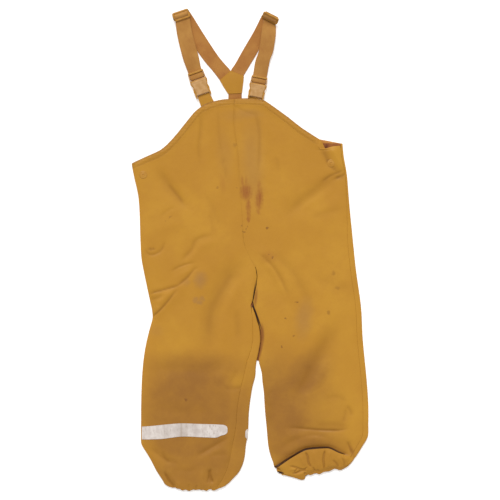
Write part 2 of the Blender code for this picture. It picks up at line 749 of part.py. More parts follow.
def front_strap(name, sections, place, finish):
    """A front strap: two layers of elastic, joined round the clip's strap bar."""
    lines = []

    def station(left_edge, right_edge, z):
        a, b = np.array(left_edge), np.array(right_edge)
        lines.append([(*(a + (b - a) * part), z) for part in (0.0, 0.5, 1.0)])

    def in_buckle(y, z):
        station(placed((-STRAP_HALF, y), place), placed((STRAP_HALF, y), place), z)

    for s in sections:
        station((s.xl, s.yl), (s.xr, s.yr), OVER_REAR + UPPER_LAYER)
    for y, z in THREADING:
        in_buckle(y, z)
    for degrees in (90, 45, 0, -45, -90):
        angle = math.radians(degrees)
        in_buckle(
            LOOP_CENTRE[0] - LOOP_RADIUS * math.cos(angle),
            LOOP_CENTRE[1] + LOOP_RADIUS * math.sin(angle),
        )
    for y in LOWER_RUN:
        in_buckle(y, ON_FLOOR)
    for s in reversed(sections):
        station((s.xl, s.yl), (s.xr, s.yr), OVER_REAR)
    middle = np.array(lines)
    normals = grid_normals(middle, (1, 1))
    half = ELASTIC / 2
    return wall(name, middle + normals * half, middle - normals * half, finish)


OVER_STRAPS = OVER_REAR + UPPER_LAYER + ELASTIC / 2 + GAP
SLIDERS = {
    # x, y, z of the centre, turn and pitch in degrees; the left one stands on its edge
    "right": (-110.0, 374.0, OVER_STRAPS + SLIDER_WALL / 2, 18.5, 0),
    "left": (32.6, 369.2, 8.3, -27.0, 55),
}


def slider(name, place, finish):
    """A strap adjuster: a flat frame with a bar across its middle."""
    x, y, z, turn, pitch = place
    shape = bmesh.new()
    spots = [[shape.verts.new((a, b, -SLIDER_WALL / 2)) for a in SLIDER_XS] for b in SLIDER_YS]
    faces = []
    for j in range(len(SLIDER_YS) - 1):
        for i in range(len(SLIDER_XS) - 1):
            if i == 1 and j in (1, 3):
                continue
            faces.append(
                shape.faces.new((spots[j][i], spots[j][i + 1], spots[j + 1][i + 1], spots[j + 1][i]))
            )
    grown = bmesh.ops.extrude_face_region(shape, geom=faces)
    lifted = [v for v in grown["geom"] if isinstance(v, bmesh.types.BMVert)]
    bmesh.ops.translate(shape, vec=(0, 0, SLIDER_WALL), verts=lifted)
    reach_x, reach_y = SLIDER_XS[-1], SLIDER_YS[-1]
    corners = [
        e
        for e in shape.edges
        if all(abs(abs(v.co.x) - reach_x) < 0.01 and abs(abs(v.co.y) - reach_y) < 0.01 for v in e.verts)
    ]
    bmesh.ops.bevel(
        shape, geom=corners, offset=2.2, segments=3, profile=0.5, affect="EDGES", material=-1
    )
    thing = finish_object(name, shape, finish, 40)
    thing.location = (x * MM, y * MM, z * MM)
    thing.rotation_euler = (math.radians(pitch), 0, math.radians(turn))
    return thing


def socket(name, place, finish):
    """The socket plate of a buckle, with hollow sides."""
    right = list(SOCKET_OUTLINE)
    left = [(-x, y) for x, y in reversed(SOCKET_OUTLINE)]
    outline = [placed(p, place) for p in right + left]
    return slab(name, outline, *SOCKET_Z, finish)


def box_outline(x0, y0, x1, y1):
    return [(x0, y0), (x1, y0), (x1, y1), (x0, y1)]


def clip(name, place, finish):
    """The other half of a buckle: strap bars between two rails, and two arms beside the socket."""
    y0, y1, z0, z1 = BARS[0]
    base = box_outline(-SHOULDER, y0, SHOULDER, y1)
    body = slab(name, [placed(p, place) for p in base], z0, z1, finish)
    parts = []
    for side in (-1, 1):
        rail = [(side * x, y) for x, y in box_outline(RAIL[0], y1 - 0.5, RAIL[1], CLIP_TOP)]
        parts.append((rail, 0.9, 5.9))
        arm = [(x + GAP, y) for x, y in SOCKET_OUTLINE if 3.0 < y < 20.0] + list(ARM_OUTLINE)
        parts.append(([(side * x, y) for x, y in arm], 1.2, 5.6))
    for low, high, floor, top in BARS[1:]:
        parts.append((box_outline(-RAIL[0] - 0.6, low, RAIL[0] + 0.6, high - 0.01), floor, top))
    for k, (outline, floor, top) in enumerate(parts):
        piece = slab(f"{name}_part{k}", [placed(p, place) for p in outline], floor, top, finish)
        join = body.modifiers.new(f"part{k}", "BOOLEAN")
        join.operation = "UNION"
        join.object = piece
        piece.hide_render = True
        piece.display_type = "WIRE"
    return body


TABS = {"right": (-78.2, -57.8), "left": (-2.4, 21.6)}  # the x of each tab's two sides on the bib's edge


def tab(name, place, top_row, sides, finish):
    """A doubled cloth tab between the bib's top edge and the foot of a buckle."""
    x_left, x_right = sides
    edge = [p for p in top_row if x_left < p[0] < x_right]
    low_left = np.array((x_left, np.interp(x_left, top_row[:, 0], top_row[:, 1])))
    low_right = np.array((x_right, np.interp(x_right, top_row[:, 0], top_row[:, 1])))
    low = [p + np.array((0, 2 * GAP)) for p in [low_left, *edge, low_right]]
    high = [placed((x, -GAP), place) for x in (SOCKET_OUTLINE[0][0] - 0.6, -SOCKET_OUTLINE[0][0] + 0.6)]
    outline = [tuple(p) for p in low] + high
    return slab(name, outline, LOW - TAB_WALL / 2, LOW + TAB_WALL / 2, finish)


# --- the garment -------------------------------------------------------------------------------------------
def build():
    for thing in list(bpy.data.objects):
        bpy.data.objects.remove(thing, do_unlink=True)
    cloth = material("coated_cloth", COATED_CLOTH, 0.55)
    webbing = material("elastic_webbing", WEBBING, 0.8)
    clip_plastic = material("clip_plastic", CLIP_PLASTIC, 0.4)
    socket_plastic = material("socket_plastic", SOCKET_PLASTIC, 0.45)
    snap_plastic = material("snap_plastic", SNAP_PLASTIC, 0.4)
    tape = material("reflective_tape", TAPE, 0.45)

    front_right = front_panel("front_right", False, cloth)
    front_left = front_panel("front_left", True, cloth)
    back_right = back_panel("back_right", False, cloth)
    back_panel("back_left", True, cloth)

    band_on("reflective_front", surface_of(front_right), TAPE_SECTIONS, tape)
    band_on("reflective_back_end", surface_of(back_right), BACK_TAPE_END, tape)
    for side, panel in (("right", front_right), ("left", front_left)):
        x, y = SNAPS[side]
        snap(f"snap_{side}", x, y, surface_of(panel)(x, y, SNAP_RADIUS), snap_plastic)

    slab("strap_rear_right", strap_outline(REAR_RIGHT), 0.0, ELASTIC, webbing)
    slab("strap_rear_left", strap_outline(REAR_LEFT), 0.0, ELASTIC, webbing)
    slab("yoke", YOKE, ELASTIC + GAP, ELASTIC + GAP + CLOTH, cloth)
    slab("back_elastic", box_outline(*BACK_ELASTIC), 0.0, CLOTH, webbing)
    front_strap("strap_front_right", FRONT_RIGHT_STRAP, BUCKLES["right"], webbing)
    front_strap("strap_front_left", FRONT_LEFT_STRAP, BUCKLES["left"], webbing)
    for side, place in BUCKLES.items():
        slider(f"slider_{side}", SLIDERS[side], clip_plastic)
        socket(f"buckle_socket_{side}", place, socket_plastic)
        clip(f"buckle_clip_{side}", place, clip_plastic)
        panel, _ = front_grid(side == "left")
        top_row = panel[0][np.argsort(panel[0][:, 0])]
        tab(f"tab_{side}", place, top_row, TABS[side], cloth)


build()
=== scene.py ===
"""Child's bib rain pants in worn mustard coated cloth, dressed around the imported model.

Lengths in the tables are millimetres. Right and left are the wearer's, so the right leg is on the -X side,
the straps point towards +Y and the garment lies on the floor at Z = 0.
"""

import math

import bmesh
import bpy
import numpy as np
from mathutils import Matrix, Vector
from mathutils.bvhtree import BVHTree


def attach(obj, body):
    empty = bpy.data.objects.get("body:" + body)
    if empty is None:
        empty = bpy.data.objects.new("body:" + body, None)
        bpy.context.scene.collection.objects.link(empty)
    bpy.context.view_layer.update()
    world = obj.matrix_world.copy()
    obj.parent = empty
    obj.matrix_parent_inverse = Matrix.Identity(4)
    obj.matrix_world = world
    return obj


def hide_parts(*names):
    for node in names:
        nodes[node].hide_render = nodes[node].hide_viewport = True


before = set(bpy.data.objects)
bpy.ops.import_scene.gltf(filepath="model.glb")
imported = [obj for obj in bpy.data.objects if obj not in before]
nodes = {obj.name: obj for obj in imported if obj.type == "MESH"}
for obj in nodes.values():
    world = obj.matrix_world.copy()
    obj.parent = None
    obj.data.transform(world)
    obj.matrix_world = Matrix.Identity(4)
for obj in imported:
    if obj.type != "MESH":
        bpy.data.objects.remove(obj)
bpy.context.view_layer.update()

MM = 0.001
WELD = 0.01 * MM
CLOTH = 1.2  # wall of the coated cloth
ELASTIC = 1.5  # wall of the strap webbing
GAP = 0.3
HEM = 8.4  # from the bib's free edge to the row of stitching on its turned hem
LOWEST = 0.02  # the underside of what is pressed against the floor
ROW_REACH = 2.2  # vertices this near to a Y count as a row of a piece


# --- lines and numbers ---
def smooth(t):
    """0 below 0, 1 above 1, and an even slope between."""
    t = np.clip(t, 0.0, 1.0)
    return t * t * (3 - 2 * t)


def bell(t):
    """1 at 0, falling evenly to almost nothing at 2 on either side."""
    return np.exp(-(t**2))


def band(distance, strength, width):
    """A soft stripe along a line: its strength on the line, fading over its half width."""
    return strength * bell(distance / width)


def linear(red, green, blue):
    """A colour given as 8-bit screen values, as the shader wants it."""
    values = [v / 255 for v in (red, green, blue)]
    return (*[v / 12.92 if v < 0.04045 else ((v + 0.055) / 1.055) ** 2.4 for v in values], 1.0)


def curve_through(points, step):
    """A smooth line through the points, sampled about every step."""
    points = np.array(points, float)
    padded = np.concatenate([2 * points[:1] - points[1:2], points, 2 * points[-1:] - points[-2:-1]])
    line = []
    for before, start, end, after in zip(padded[:-3], padded[1:-2], padded[2:-1], padded[3:]):
        count = max(1, int(np.linalg.norm(end - start) / step))
        for t in np.arange(count) / count:
            bend = (end - before) * t + (2 * before - 5 * start + 4 * end - after) * t**2
            bend = bend + (3 * start - before - 3 * end + after) * t**3
            line.append(start + 0.5 * bend)
    line.append(points[-1])
    return np.array(line)


def lengths(line):
    """How far along a line each of its points lies."""
    return np.concatenate([[0], np.cumsum(np.linalg.norm(np.diff(line, axis=0), axis=1))])


def distance_to(points, line):
    """How far each (x, y) point lies from a line of points."""
    best = np.full(len(points), np.inf)
    for a, b in zip(line[:-1], line[1:]):
        run = b - a
        part = np.clip(((points - a) @ run) / max(run @ run, 1e-9), 0, 1)
        best = np.minimum(best, np.linalg.norm(points - a - part[:, None] * run, axis=1))
    return best


def offset_line(line, distance):
    """A line of (x, y) points moved sideways, to the right of its direction."""
    run = np.gradient(line, axis=0)
    run /= np.linalg.norm(run, axis=1, keepdims=True)
    return line + distance * np.stack([run[:, 1], -run[:, 0]], axis=1)


# --- meshes and pieces ---
def grid(columns, rows):
    """A flat grid, and each vertex with its share of the way along X and along Y."""
    shape = bmesh.new()
    bmesh.ops.create_grid(shape, x_segments=columns, y_segments=rows, size=0.5)
    return shape, [(vert, vert.co.x + 0.5, vert.co.y + 0.5) for vert in shape.verts]


def outward(shape):
    bmesh.ops.recalc_face_normals(shape, faces=shape.faces)


def upward(shape):
    """Turns an open surface to face up."""
    shape.normal_update()
    if sum(face.normal.z for face in shape.faces) < 0:
        bmesh.ops.reverse_faces(shape, faces=shape.faces)


def walled(shape, wall):
    """Gives an open surface a wall, downwards from its face."""
    bmesh.ops.solidify(shape, geom=shape.faces[:], thickness=wall)
    outward(shape)


def off_floor(shape):
    for vert in shape.verts:
        vert.co.z = max(vert.co.z, LOWEST)


def pulled_up(shape, faces, height):
    """Makes faces into a block of the height."""
    grown = bmesh.ops.extrude_face_region(shape, geom=faces)
    lifted = [v for v in grown["geom"] if isinstance(v, bmesh.types.BMVert)]
    bmesh.ops.translate(shape, vec=(0, 0, height), verts=lifted)


def prism(shape, outline, low, high):
    """Adds an upright block with the outline, from low to high."""
    pulled_up(shape, [shape.faces.new([shape.verts.new((x, y, low)) for x, y in outline])], high - low)


def bevelled(shape, edges, radius, segments):
    bmesh.ops.bevel(
        shape, geom=edges, offset=radius, segments=segments, profile=0.5, affect="EDGES", material=-1
    )


def rounded(shape, radius, turning=40.0):
    """Rounds the edges of the blocks that turn by more than the angle."""
    outward(shape)
    edges = [e for e in shape.edges if e.calc_face_angle(0) > math.radians(turning)]
    bevelled(shape, edges, radius, 2)


def mesh_of(name, shape):
    mesh = bpy.data.meshes.new(name)
    shape.to_mesh(mesh)
    shape.free()
    return mesh


def linked(name, data):
    """A new object in the scene."""
    thing = bpy.data.objects.new(name, data)
    bpy.context.scene.collection.objects.link(thing)
    return thing


def finish_piece(name, mesh, finishes, sharp=None, node=None):
    """A piece at the origin that rides on the garment, in place of the node if one is named."""
    for finish in finishes:
        mesh.materials.append(finish)
    mesh.shade_smooth()
    if sharp is not None:
        mesh.set_sharp_from_angle(angle=math.radians(sharp))
    thing = linked(name, mesh)
    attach(thing, "root")
    if node is not None:
        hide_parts(node)
    return thing


def new_object(name, shape, finish, sharp=None, node=None):
    """Turns a bmesh in millimetres into a piece."""
    bmesh.ops.scale(shape, vec=(MM, MM, MM), verts=shape.verts)
    return finish_piece(name, mesh_of(name, shape), [finish], sharp, node)


def set_wear_and_shade(mesh, values):
    """Stores how dark the cloth or tape is at each vertex from wear and from painted shade, from 0 to 2, for
    its finish.
    """
    soil = mesh.attributes.new("wear_and_shade", "FLOAT", "POINT")
    soil.data.foreach_set("value", np.clip(values, 0, 2).astype(np.float32))


def applied(thing):
    """The object's mesh with its modifiers applied."""
    bpy.context.view_layer.update()
    graph = bpy.context.evaluated_depsgraph_get()
    return bpy.data.meshes.new_from_object(thing.evaluated_get(graph))


def points_of(thing):
    return np.array([v.co for v in thing.data.vertices]) / MM


def edge_x(points, y, side=1):
    """The largest (side 1) or smallest (-1) X of the points near y."""
    return side * (points[np.abs(points[:, 1] - y) < ROW_REACH][:, 0] * side).max()


def side_line(thing, low, high, side):
    """A piece's edge on one side, from low to high Y."""
    points = points_of(thing)
    return np.array([(edge_x(points, y, side), y) for y in np.arange(low, high, 4.0)])


def surface_of(thing):
    """A function that gives the height of a piece's upper face at (x, y), in millimetres."""
    mesh = thing.data
    tree = BVHTree.FromPolygons([v.co for v in mesh.vertices], [p.vertices[:] for p in mesh.polygons])

    def top_at(x, y):
        hit = tree.ray_cast(Vector((x * MM, y * MM, 1.0)), Vector((0, 0, -1)))[0]
        return None if hit is None else hit.z / MM

    return top_at


# --- materials ---
class Finish:
    """A material under construction. Colours are 8-bit screen values and sizes are millimetres."""

    def __init__(self, name, roughness):
        self.material = bpy.data.materials.new(name)
        self.material.use_nodes = True
        self.tree = self.material.node_tree
        self.shader = self.tree.nodes["Principled BSDF"]
        self.shader.inputs["Roughness"].default_value = roughness
        self.shader.inputs["Specular IOR Level"].default_value = 0.25
        place = self.add("ShaderNodeTexCoord").outputs["Object"]
        self.place = self.vector("MULTIPLY", place, (1 / MM,) * 3)

    def add(self, kind, inputs=None, **settings):
        node = self.tree.nodes.new(kind)
        for key, value in settings.items():
            setattr(node, key, value)
        for key, value in (inputs or {}).items():
            self.put(node.inputs[key], value)
        return node

    def put(self, socket, value):
        if isinstance(value, bpy.types.NodeSocket):
            self.tree.links.new(value, socket)
        else:
            socket.default_value = value

    def sum(self, operation, a, b=0.0):
        return self.add("ShaderNodeMath", {0: a, 1: b}, operation=operation).outputs[0]

    def vector(self, operation, a, b):
        return self.add("ShaderNodeVectorMath", {0: a, 1: b}, operation=operation).outputs[0]

    def spread(self, value, low, high, start=0.0, end=1.0):
        """value from low to high, turned smoothly into start to end."""
        inputs = {"Value": value, "From Min": low, "From Max": high, "To Min": start, "To Max": end}
        return self.add("ShaderNodeMapRange", inputs, interpolation_type="SMOOTHSTEP").outputs[0]

    def mix(self, part, a, b):
        """Colour b over colour a."""
        a, b = [linear(*colour) if isinstance(colour, tuple) else colour for colour in (a, b)]
        return self.add("ShaderNodeMix", {0: part, 6: a, 7: b}, data_type="RGBA").outputs[2]

    def stained(self, colour, part, strength, stain):
        return self.mix(self.sum("MULTIPLY", part, strength), colour, stain)

    def noise(self, size, detail=2.0, rough=0.5, place=None):
        """Even noise whose lumps are about size across: its value and its colour."""
        inputs = {"Vector": place or self.place, "Scale": 1.0 / size, "Detail": detail, "Roughness": rough}
        return self.add("ShaderNodeTexNoise", inputs).outputs

    def patches(self, noise, low, high, start=0.0, end=1.0):
        """Noise with these settings, from low to high turned smoothly into start to end."""
        return self.spread(self.noise(*noise)[0], low, high, start, end)

    def shifted(self, noise, reach):
        """The place, moved about by noise with these settings."""
        shift = self.vector("SUBTRACT", self.noise(*noise)[1], (0.5, 0.5, 0.5))
        return self.vector("ADD", self.place, self.vector("MULTIPLY", shift, reach))

    def turned(self, place, scale, degrees=0.0, centre=(0, 0, 0)):
        """The place in a frame of its own, turned about its centre and scaled."""
        turn = (0, 0, math.radians(degrees))
        inputs = {"Vector": place, "Location": centre, "Rotation": turn, "Scale": scale}
        return self.add("ShaderNodeMapping", inputs, vector_type="TEXTURE").outputs[0]

    def stretched(self, along_x, along_y, degrees=0.0):
        """The place, with lumps made longer along x and y and then turned."""
        return self.turned(self.place, (along_x, along_y, 1), degrees)

    def blots(self, place, spots):
        """The ovals of a table of spots: their strength inside and 0 outside."""
        total = None
        for x, y, half_x, half_y, turn, soft, strength in spots:
            own = self.turned(place, (half_x, half_y, SPOT_DEPTH), turn, (x, y, 0))
            away = self.add("ShaderNodeVectorMath", {0: own}, operation="LENGTH").outputs["Value"]
            spot = self.spread(away, 1 + soft, 1 - soft, 0.0, strength)
            total = spot if total is None else self.sum("MAXIMUM", total, spot)
        return total

    def wear_and_shade(self):
        return self.add("ShaderNodeAttribute", attribute_name="wear_and_shade").outputs["Fac"]

    def bump(self, height, distance, strength=1.0, below=None):
        inputs = {"Height": height, "Distance": distance * MM, "Strength": strength}
        if below is not None:
            inputs["Normal"] = below
        return self.add("ShaderNodeBump", inputs).outputs[0]

    def ripple(self, value, pitch):
        """Rounded ribs with a groove at every pitch."""
        return self.sum("ABSOLUTE", self.sum("SINE", self.sum("MULTIPLY", value, math.pi / pitch)))

    def weave(self, pitch):
        """A plain weave of threads, pitch apart."""
        bands = []
        for direction in ("X", "Y"):
            inputs = {"Vector": self.place, "Scale": math.pi / pitch / 10, "Distortion": 0.4, "Detail": 0.0}
            bands.append(self.add("ShaderNodeTexWave", inputs, bands_direction=direction).outputs["Fac"])
        return self.sum("MULTIPLY", *bands)

    def done(self, colour, normal=None, roughness=None, sheen=0.0):
        values = {"Base Color": colour, "Normal": normal, "Roughness": roughness, "Sheen Weight": sheen}
        for key, value in values.items():
            if value is not None:
                self.put(self.shader.inputs[key], value)
        return self.material


SPOT_DEPTH = 500  # more than any height in the scene, so that a spot is the same all the way down
# Spots: x, y, half width, half length, turn in degrees, softness of the rim, strength
RUST = (
    # reddish brown stains on the belly
    (-6.4, 91.5, 9, 12, 0, 0.45, 0.8),
    (-4, 88.5, 3.4, 5.6, 0, 0.6, 1),
    (-12, 108, 2, 8, 4, 0.7, 0.5),
    (-6, 108, 1.6, 8, 0, 0.7, 0.4),
    (-2.6, 66, 3.4, 18, 2, 0.5, 0.7),
    (-2.4, 48, 2.6, 4.6, 0, 0.5, 0.7),
    (14.8, 81, 5.6, 17, -2, 0.55, 0.75),
    (16.4, 82, 2.6, 11, 2, 0.6, 0.95),
    (14.2, 104, 2.6, 6, 0, 0.7, 0.45),
    (13.5, 60, 2.6, 5, 30, 0.7, 0.5),
    (-44, 104, 4, 12, 10, 0.8, 0.25),
    (30, -12, 9, 8, 0, 0.8, 0.35),
)
DOTS = (
    # small dark spots
    (74.5, -84.2, 2.6, 1.3, 0, 0.4, 0.9),
    (56.8, -110.6, 1.7, 1.3, 0, 0.4, 0.8),
    (69.6, -137.8, 1.8, 1.4, 0, 0.5, 0.6),
    (50.4, -156, 1.2, 1.6, 0, 0.4, 0.8),
    (125.6, -101, 2.4, 3.4, 0, 0.5, 0.5),
    (36, -13, 1.5, 1.5, 0, 0.4, 0.8),
    (30, -8.5, 1.2, 0.9, 0, 0.4, 0.7),
    (28, 34.2, 2, 1.8, 20, 0.4, 0.9),
    (-9.6, 27.8, 2.6, 1.3, 0, 0.4, 0.8),
    (-6, 32, 1.2, 1.2, 0, 0.4, 0.6),
    (-13.6, 37.4, 1.3, 1.3, 0, 0.4, 0.6),
    (-4.6, 35.6, 1, 1.4, 0, 0.4, 0.7),
    (-51.7, 98.6, 1.8, 1.6, 0, 0.5, 0.5),
    (-20.8, 98.2, 1.5, 1.4, 0, 0.5, 0.6),
    (-24.4, 166.4, 3.4, 3.4, 0, 0.6, 0.35),
    (-102.4, -240.2, 2.2, 2.2, 0, 0.5, 0.9),
    (-135, 45, 1.2, 1.2, 0, 0.5, 0.4),
    (-127, 52, 3.6, 1, 40, 0.5, 0.4),
    (133.6, -37.8, 2.4, 3.4, 0, 0.6, 0.4),
    (139.2, -61.8, 3.6, 2.6, 0, 0.6, 0.4),
    (-157, 0.4, 5.5, 1.8, 0, 0.6, 0.35),
    (125, 141.6, 3, 2.2, 0, 0.5, 0.45),
)
HOLLOW_SHADOWS = (
    # painted shadow in the hollows between the layers at the end of the turned-up ankle
    (48.6, -356.6, 5.6, 1.7, -14, 0.3, 1),
    # and painted shadow in the slit between the legs
    (6.2, -71, 0.9, 18, -8.7, 0.5, 0.9),
    (10.6, -105.4, 1.4, 20.5, 20, 0.45, 1),
)
SHADE = (
    # brown shade beside the slit and on the ankle's corner
    (9.2, -77, 2.4, 13, -6, 0.7, 0.7),
    (19.2, -136, 3.2, 14, 2, 0.6, 0.95),
    (17, -158, 2.6, 17, -11, 0.6, 0.85),
    (41.6, -352.6, 2.2, 2.4, 0, 0.6, 0.7),
    (163, -323, 3, 8, 20, 0.8, 0.5),
)
GREY = (
    # greyish blotches
    (-79.2, -49, 9, 11.4, 0, 0.7, 0.8),
    (-79.8, -48.6, 3.2, 4.6, 10, 0.8, 1),
    (-100.6, -53, 5.4, 5, 0, 0.8, 0.45),
    (-86.6, -80.6, 4.6, 4.2, 0, 0.6, 0.75),
    (-80.8, -84.6, 5, 3.8, 0, 0.6, 0.8),
    (-76.8, -78.6, 3.8, 4.2, 0, 0.6, 0.75),
    (86.4, -110, 11, 26, -8, 0.85, 0.6),
    (-40, 150, 11, 34, 4, 0.9, 0.28),
    (4, 138, 15, 56, 2, 0.8, 0.5),
    (12, 165, 7, 46, 0, 0.8, 0.35),
    (-4, 216, 20, 7, 0, 0.8, 0.5),
    (-16, 213, 26, 8, 0, 0.9, 0.3),
    (-150, -130, 10, 8, 0, 0.9, 0.25),
)
KNEES = (
    # broad brown soiling of the knees and shins
    (-92, -218, 66, 40, 0, 0.6, 1),
    (-96, -262, 76, 84, 0, 0.3, 0.9),
    (-120, -240, 30, 16, 0, 0.7, 0.95),
    (-88, -190, 64, 20, 0, 0.9, 0.85),
    (-62, -330, 52, 40, 0, 0.7, 0.85),
    (-90, -352, 70, 36, 0, 0.6, 0.8),
    (-18, -290, 26, 92, 0, 0.7, 0.75),
    (84, -206, 46, 30, 35, 0.65, 1),
    (54, -258, 50, 78, 10, 0.7, 0.95),
    (98, -250, 40, 60, 25, 0.9, 0.6),
    (82, -318, 64, 36, 0, 0.7, 0.88),
    (100, -345, 60, 24, 0, 0.8, 0.6),
)
FADED = (
    # paler, yellower cloth
    (-19.5, -210, 13, 10, 15, 0.9, 0.75),
    (141, 150, 11, 25, 14, 0.7, 0.9),
    (150, -160, 26, 120, 0, 0.9, 0.35),
    (-120, -140, 40, 30, 0, 0.9, 0.35),
    (100, 20, 60, 60, 0, 0.9, 0.25),
    (126, -262, 26, 22, 0, 0.7, 0.4),
    (162, -280, 10, 50, 0, 0.8, 0.5),
    (-150, -60, 20, 40, 0, 0.9, 0.4),
)
# The back's inside shows under the left armpit: its turned hem lies above this Y, and a painted shadow
# darkens its corner
BACK_HEM = 169.7
BACK_CORNER_SHADOW = (121.6, 163, 2.6, 4.6, -24, 0.8, 0.8)


def inside_colour(f, worn_and_shaded):
    """The inside of the back, brown with painted shade, with its paler hem under the armpit, a painted shadow
    in its corner there, and darker still where its attribute paints shade.
    """
    shaded = f.mix(f.patches((9, 3), 0.35, 0.7), (136, 76, 36), (158, 97, 44))
    height = f.add("ShaderNodeSeparateXYZ", {0: f.place}).outputs[1]
    colour = f.mix(f.spread(height, BACK_HEM + 0.6, BACK_HEM - 0.6), (184, 124, 52), shaded)
    colour = f.mix(f.blots(f.place, [BACK_CORNER_SHADOW]), colour, (92, 46, 20))
    return f.mix(f.spread(worn_and_shaded, 0.8, 2.0), colour, (56, 28, 12))


def outside_colour(f, worn_and_shaded, soiling):
    """Mustard cloth with its stains, darker along its edge and seams, and with painted shade in its folds,
    its hollows and under the turned-up ankle's edge.
    """
    ragged = f.shifted((9, 3), (9, 9, 0))
    torn = f.shifted((3, 2), (5, 7, 0))
    faded = f.blots(ragged, FADED)
    cleaner = f.sum("SUBTRACT", 1.0, f.sum("MULTIPLY", faded, 0.85))
    uneven = f.patches((26, 4, 0.6), 0.25, 0.7, 0.72)
    knees = f.sum("MULTIPLY", f.sum("MULTIPLY", f.blots(ragged, KNEES), uneven), cleaner)
    streaks = f.patches((2.2, 3, 0.6, f.stretched(1, 6)), 0.34, 0.62, 0.62)
    rust = f.sum("MULTIPLY", f.blots(torn, RUST), streaks)
    colour = f.mix(f.patches((95, 3, 0.55), 0.38, 0.66), (186, 131, 40), (194, 140, 44))
    colour = f.stained(colour, f.patches((14, 4, 0.6), 0.35, 0.7), 0.35, (183, 128, 42))
    colour = f.stained(colour, faded, 0.6, (197, 144, 42))
    colour = f.stained(colour, knees, soiling, (152, 102, 39))
    colour = f.stained(colour, f.blots(ragged, GREY), 0.62, (160, 116, 68))
    colour = f.stained(colour, rust, 0.9, (150, 84, 34))
    colour = f.stained(colour, f.blots(torn, DOTS), 0.75, (120, 74, 32))
    colour = f.mix(f.blots(f.place, SHADE), colour, (142, 88, 36))
    # painted shadow in the hollows at the ankle's end and in the slit
    colour = f.mix(f.blots(f.place, HOLLOW_SHADOWS), colour, (56, 30, 14))
    # darker along the edge and the seams, and painted shade in the folds and under the ankle's edge, from the
    # attribute
    colour = f.mix(f.sum("MINIMUM", worn_and_shaded, 0.8), colour, (148, 98, 26))
    return f.mix(f.spread(worn_and_shaded, 0.8, 2.0, 0.0, 0.95), colour, (60, 30, 4))


def cloth_finish(name, inside=False, soiling=1.0):
    """Coated cloth: a fine weave under the coating, and wrinkles too fine for the mesh."""
    f = Finish(name, 0.5)
    worn_and_shaded = f.wear_and_shade()
    colour = inside_colour(f, worn_and_shaded) if inside else outside_colour(f, worn_and_shaded, soiling)
    normal = f.bump(f.weave(0.8), 0.05, 0.7)
    normal = f.bump(f.noise(6, 4, 0.6)[0], 0.35, 0.5, normal)
    normal = f.bump(f.noise(34, 3, 0.5, f.stretched(1, 1.9, 28))[0], 2.4, 0.5, normal)
    return f.done(colour, normal, f.patches((18, 3), 0.3, 0.7, 0.46, 0.62))


WEBBING_WIDE = 25.0


def webbing_finish(name, dark, pale):
    """Woven elastic, ribbed and unevenly yellowed. UV runs across and along it in millimetres."""
    f = Finish(name, 0.75)
    across, along = f.add("ShaderNodeSeparateXYZ", {0: f.add("ShaderNodeUVMap").outputs[0]}).outputs[:2]
    grooves, picks = f.ripple(across, 1.05), f.ripple(along, 0.9)
    from_middle = f.sum("ABSOLUTE", f.sum("SUBTRACT", across, WEBBING_WIDE / 2))
    colour = f.mix(f.patches((30, 3), 0.35, 0.68), dark, pale)
    stained = f.patches((11, 3, 0.6, f.stretched(1, 2.6, 20)), 0.52, 0.75, 0.0, 0.35)
    colour = f.mix(stained, colour, (160, 98, 46))
    # painted shade in the grooves between the ribs
    colour = f.mix(f.spread(grooves, 0.55, 0.0, 0.0, 0.3), colour, (150, 95, 42))
    colour = f.mix(f.spread(from_middle, 10.8, 12.4, 0.0, 0.35), colour, (150, 92, 40))
    return f.done(colour, f.bump(grooves, 0.16, 0.8, f.bump(picks, 0.08, 0.6)), sheen=0.25)


def plastic_finish(name, base, light, roughness):
    """Moulded plastic, a little scuffed and dirty."""
    f = Finish(name, roughness)
    colour = f.mix(f.patches((7, 4), 0.35, 0.68), base, light)
    scuffs = f.patches((1.6, 3, 0.6, f.stretched(3, 0.7, 30)), 0.62, 0.8, 0.0, 0.35)
    colour = f.mix(scuffs, colour, (226, 190, 140))
    grain = f.patches((3, 3), 0.3, 0.7, roughness - 0.06, roughness + 0.12)
    return f.done(colour, f.bump(f.noise(0.7)[0], 0.03, 0.5), grain)


TAPE_SOIL = (
    # grey rubbing beside the crease and dark specks at the loose end
    (-111, -289, 9, 12, 0, 0.9, 0.8),
    (-88, -285, 7, 9, 0, 0.9, 0.6),
    (-134, -290, 7, 10, 0, 0.9, 0.5),
    (-64, -282.4, 1.2, 2.2, 0, 0.4, 1),
    (-58.6, -281.6, 0.9, 1.4, 20, 0.4, 1),
    (-55, -282.2, 1, 1, 0, 0.4, 1),
    (-61, -287, 1.4, 0.8, 0, 0.4, 0.9),
    (-68.4, -291.6, 0.8, 1.4, 0, 0.4, 0.9),
    (-52, -290.6, 1.2, 0.8, 30, 0.4, 0.8),
    (-57.4, -294, 0.9, 0.9, 0, 0.4, 0.8),
    (-73.6, -296.4, 1, 0.7, 0, 0.4, 0.8),
    (-48.6, -284.6, 0.8, 1.2, 0, 0.4, 0.7),
)


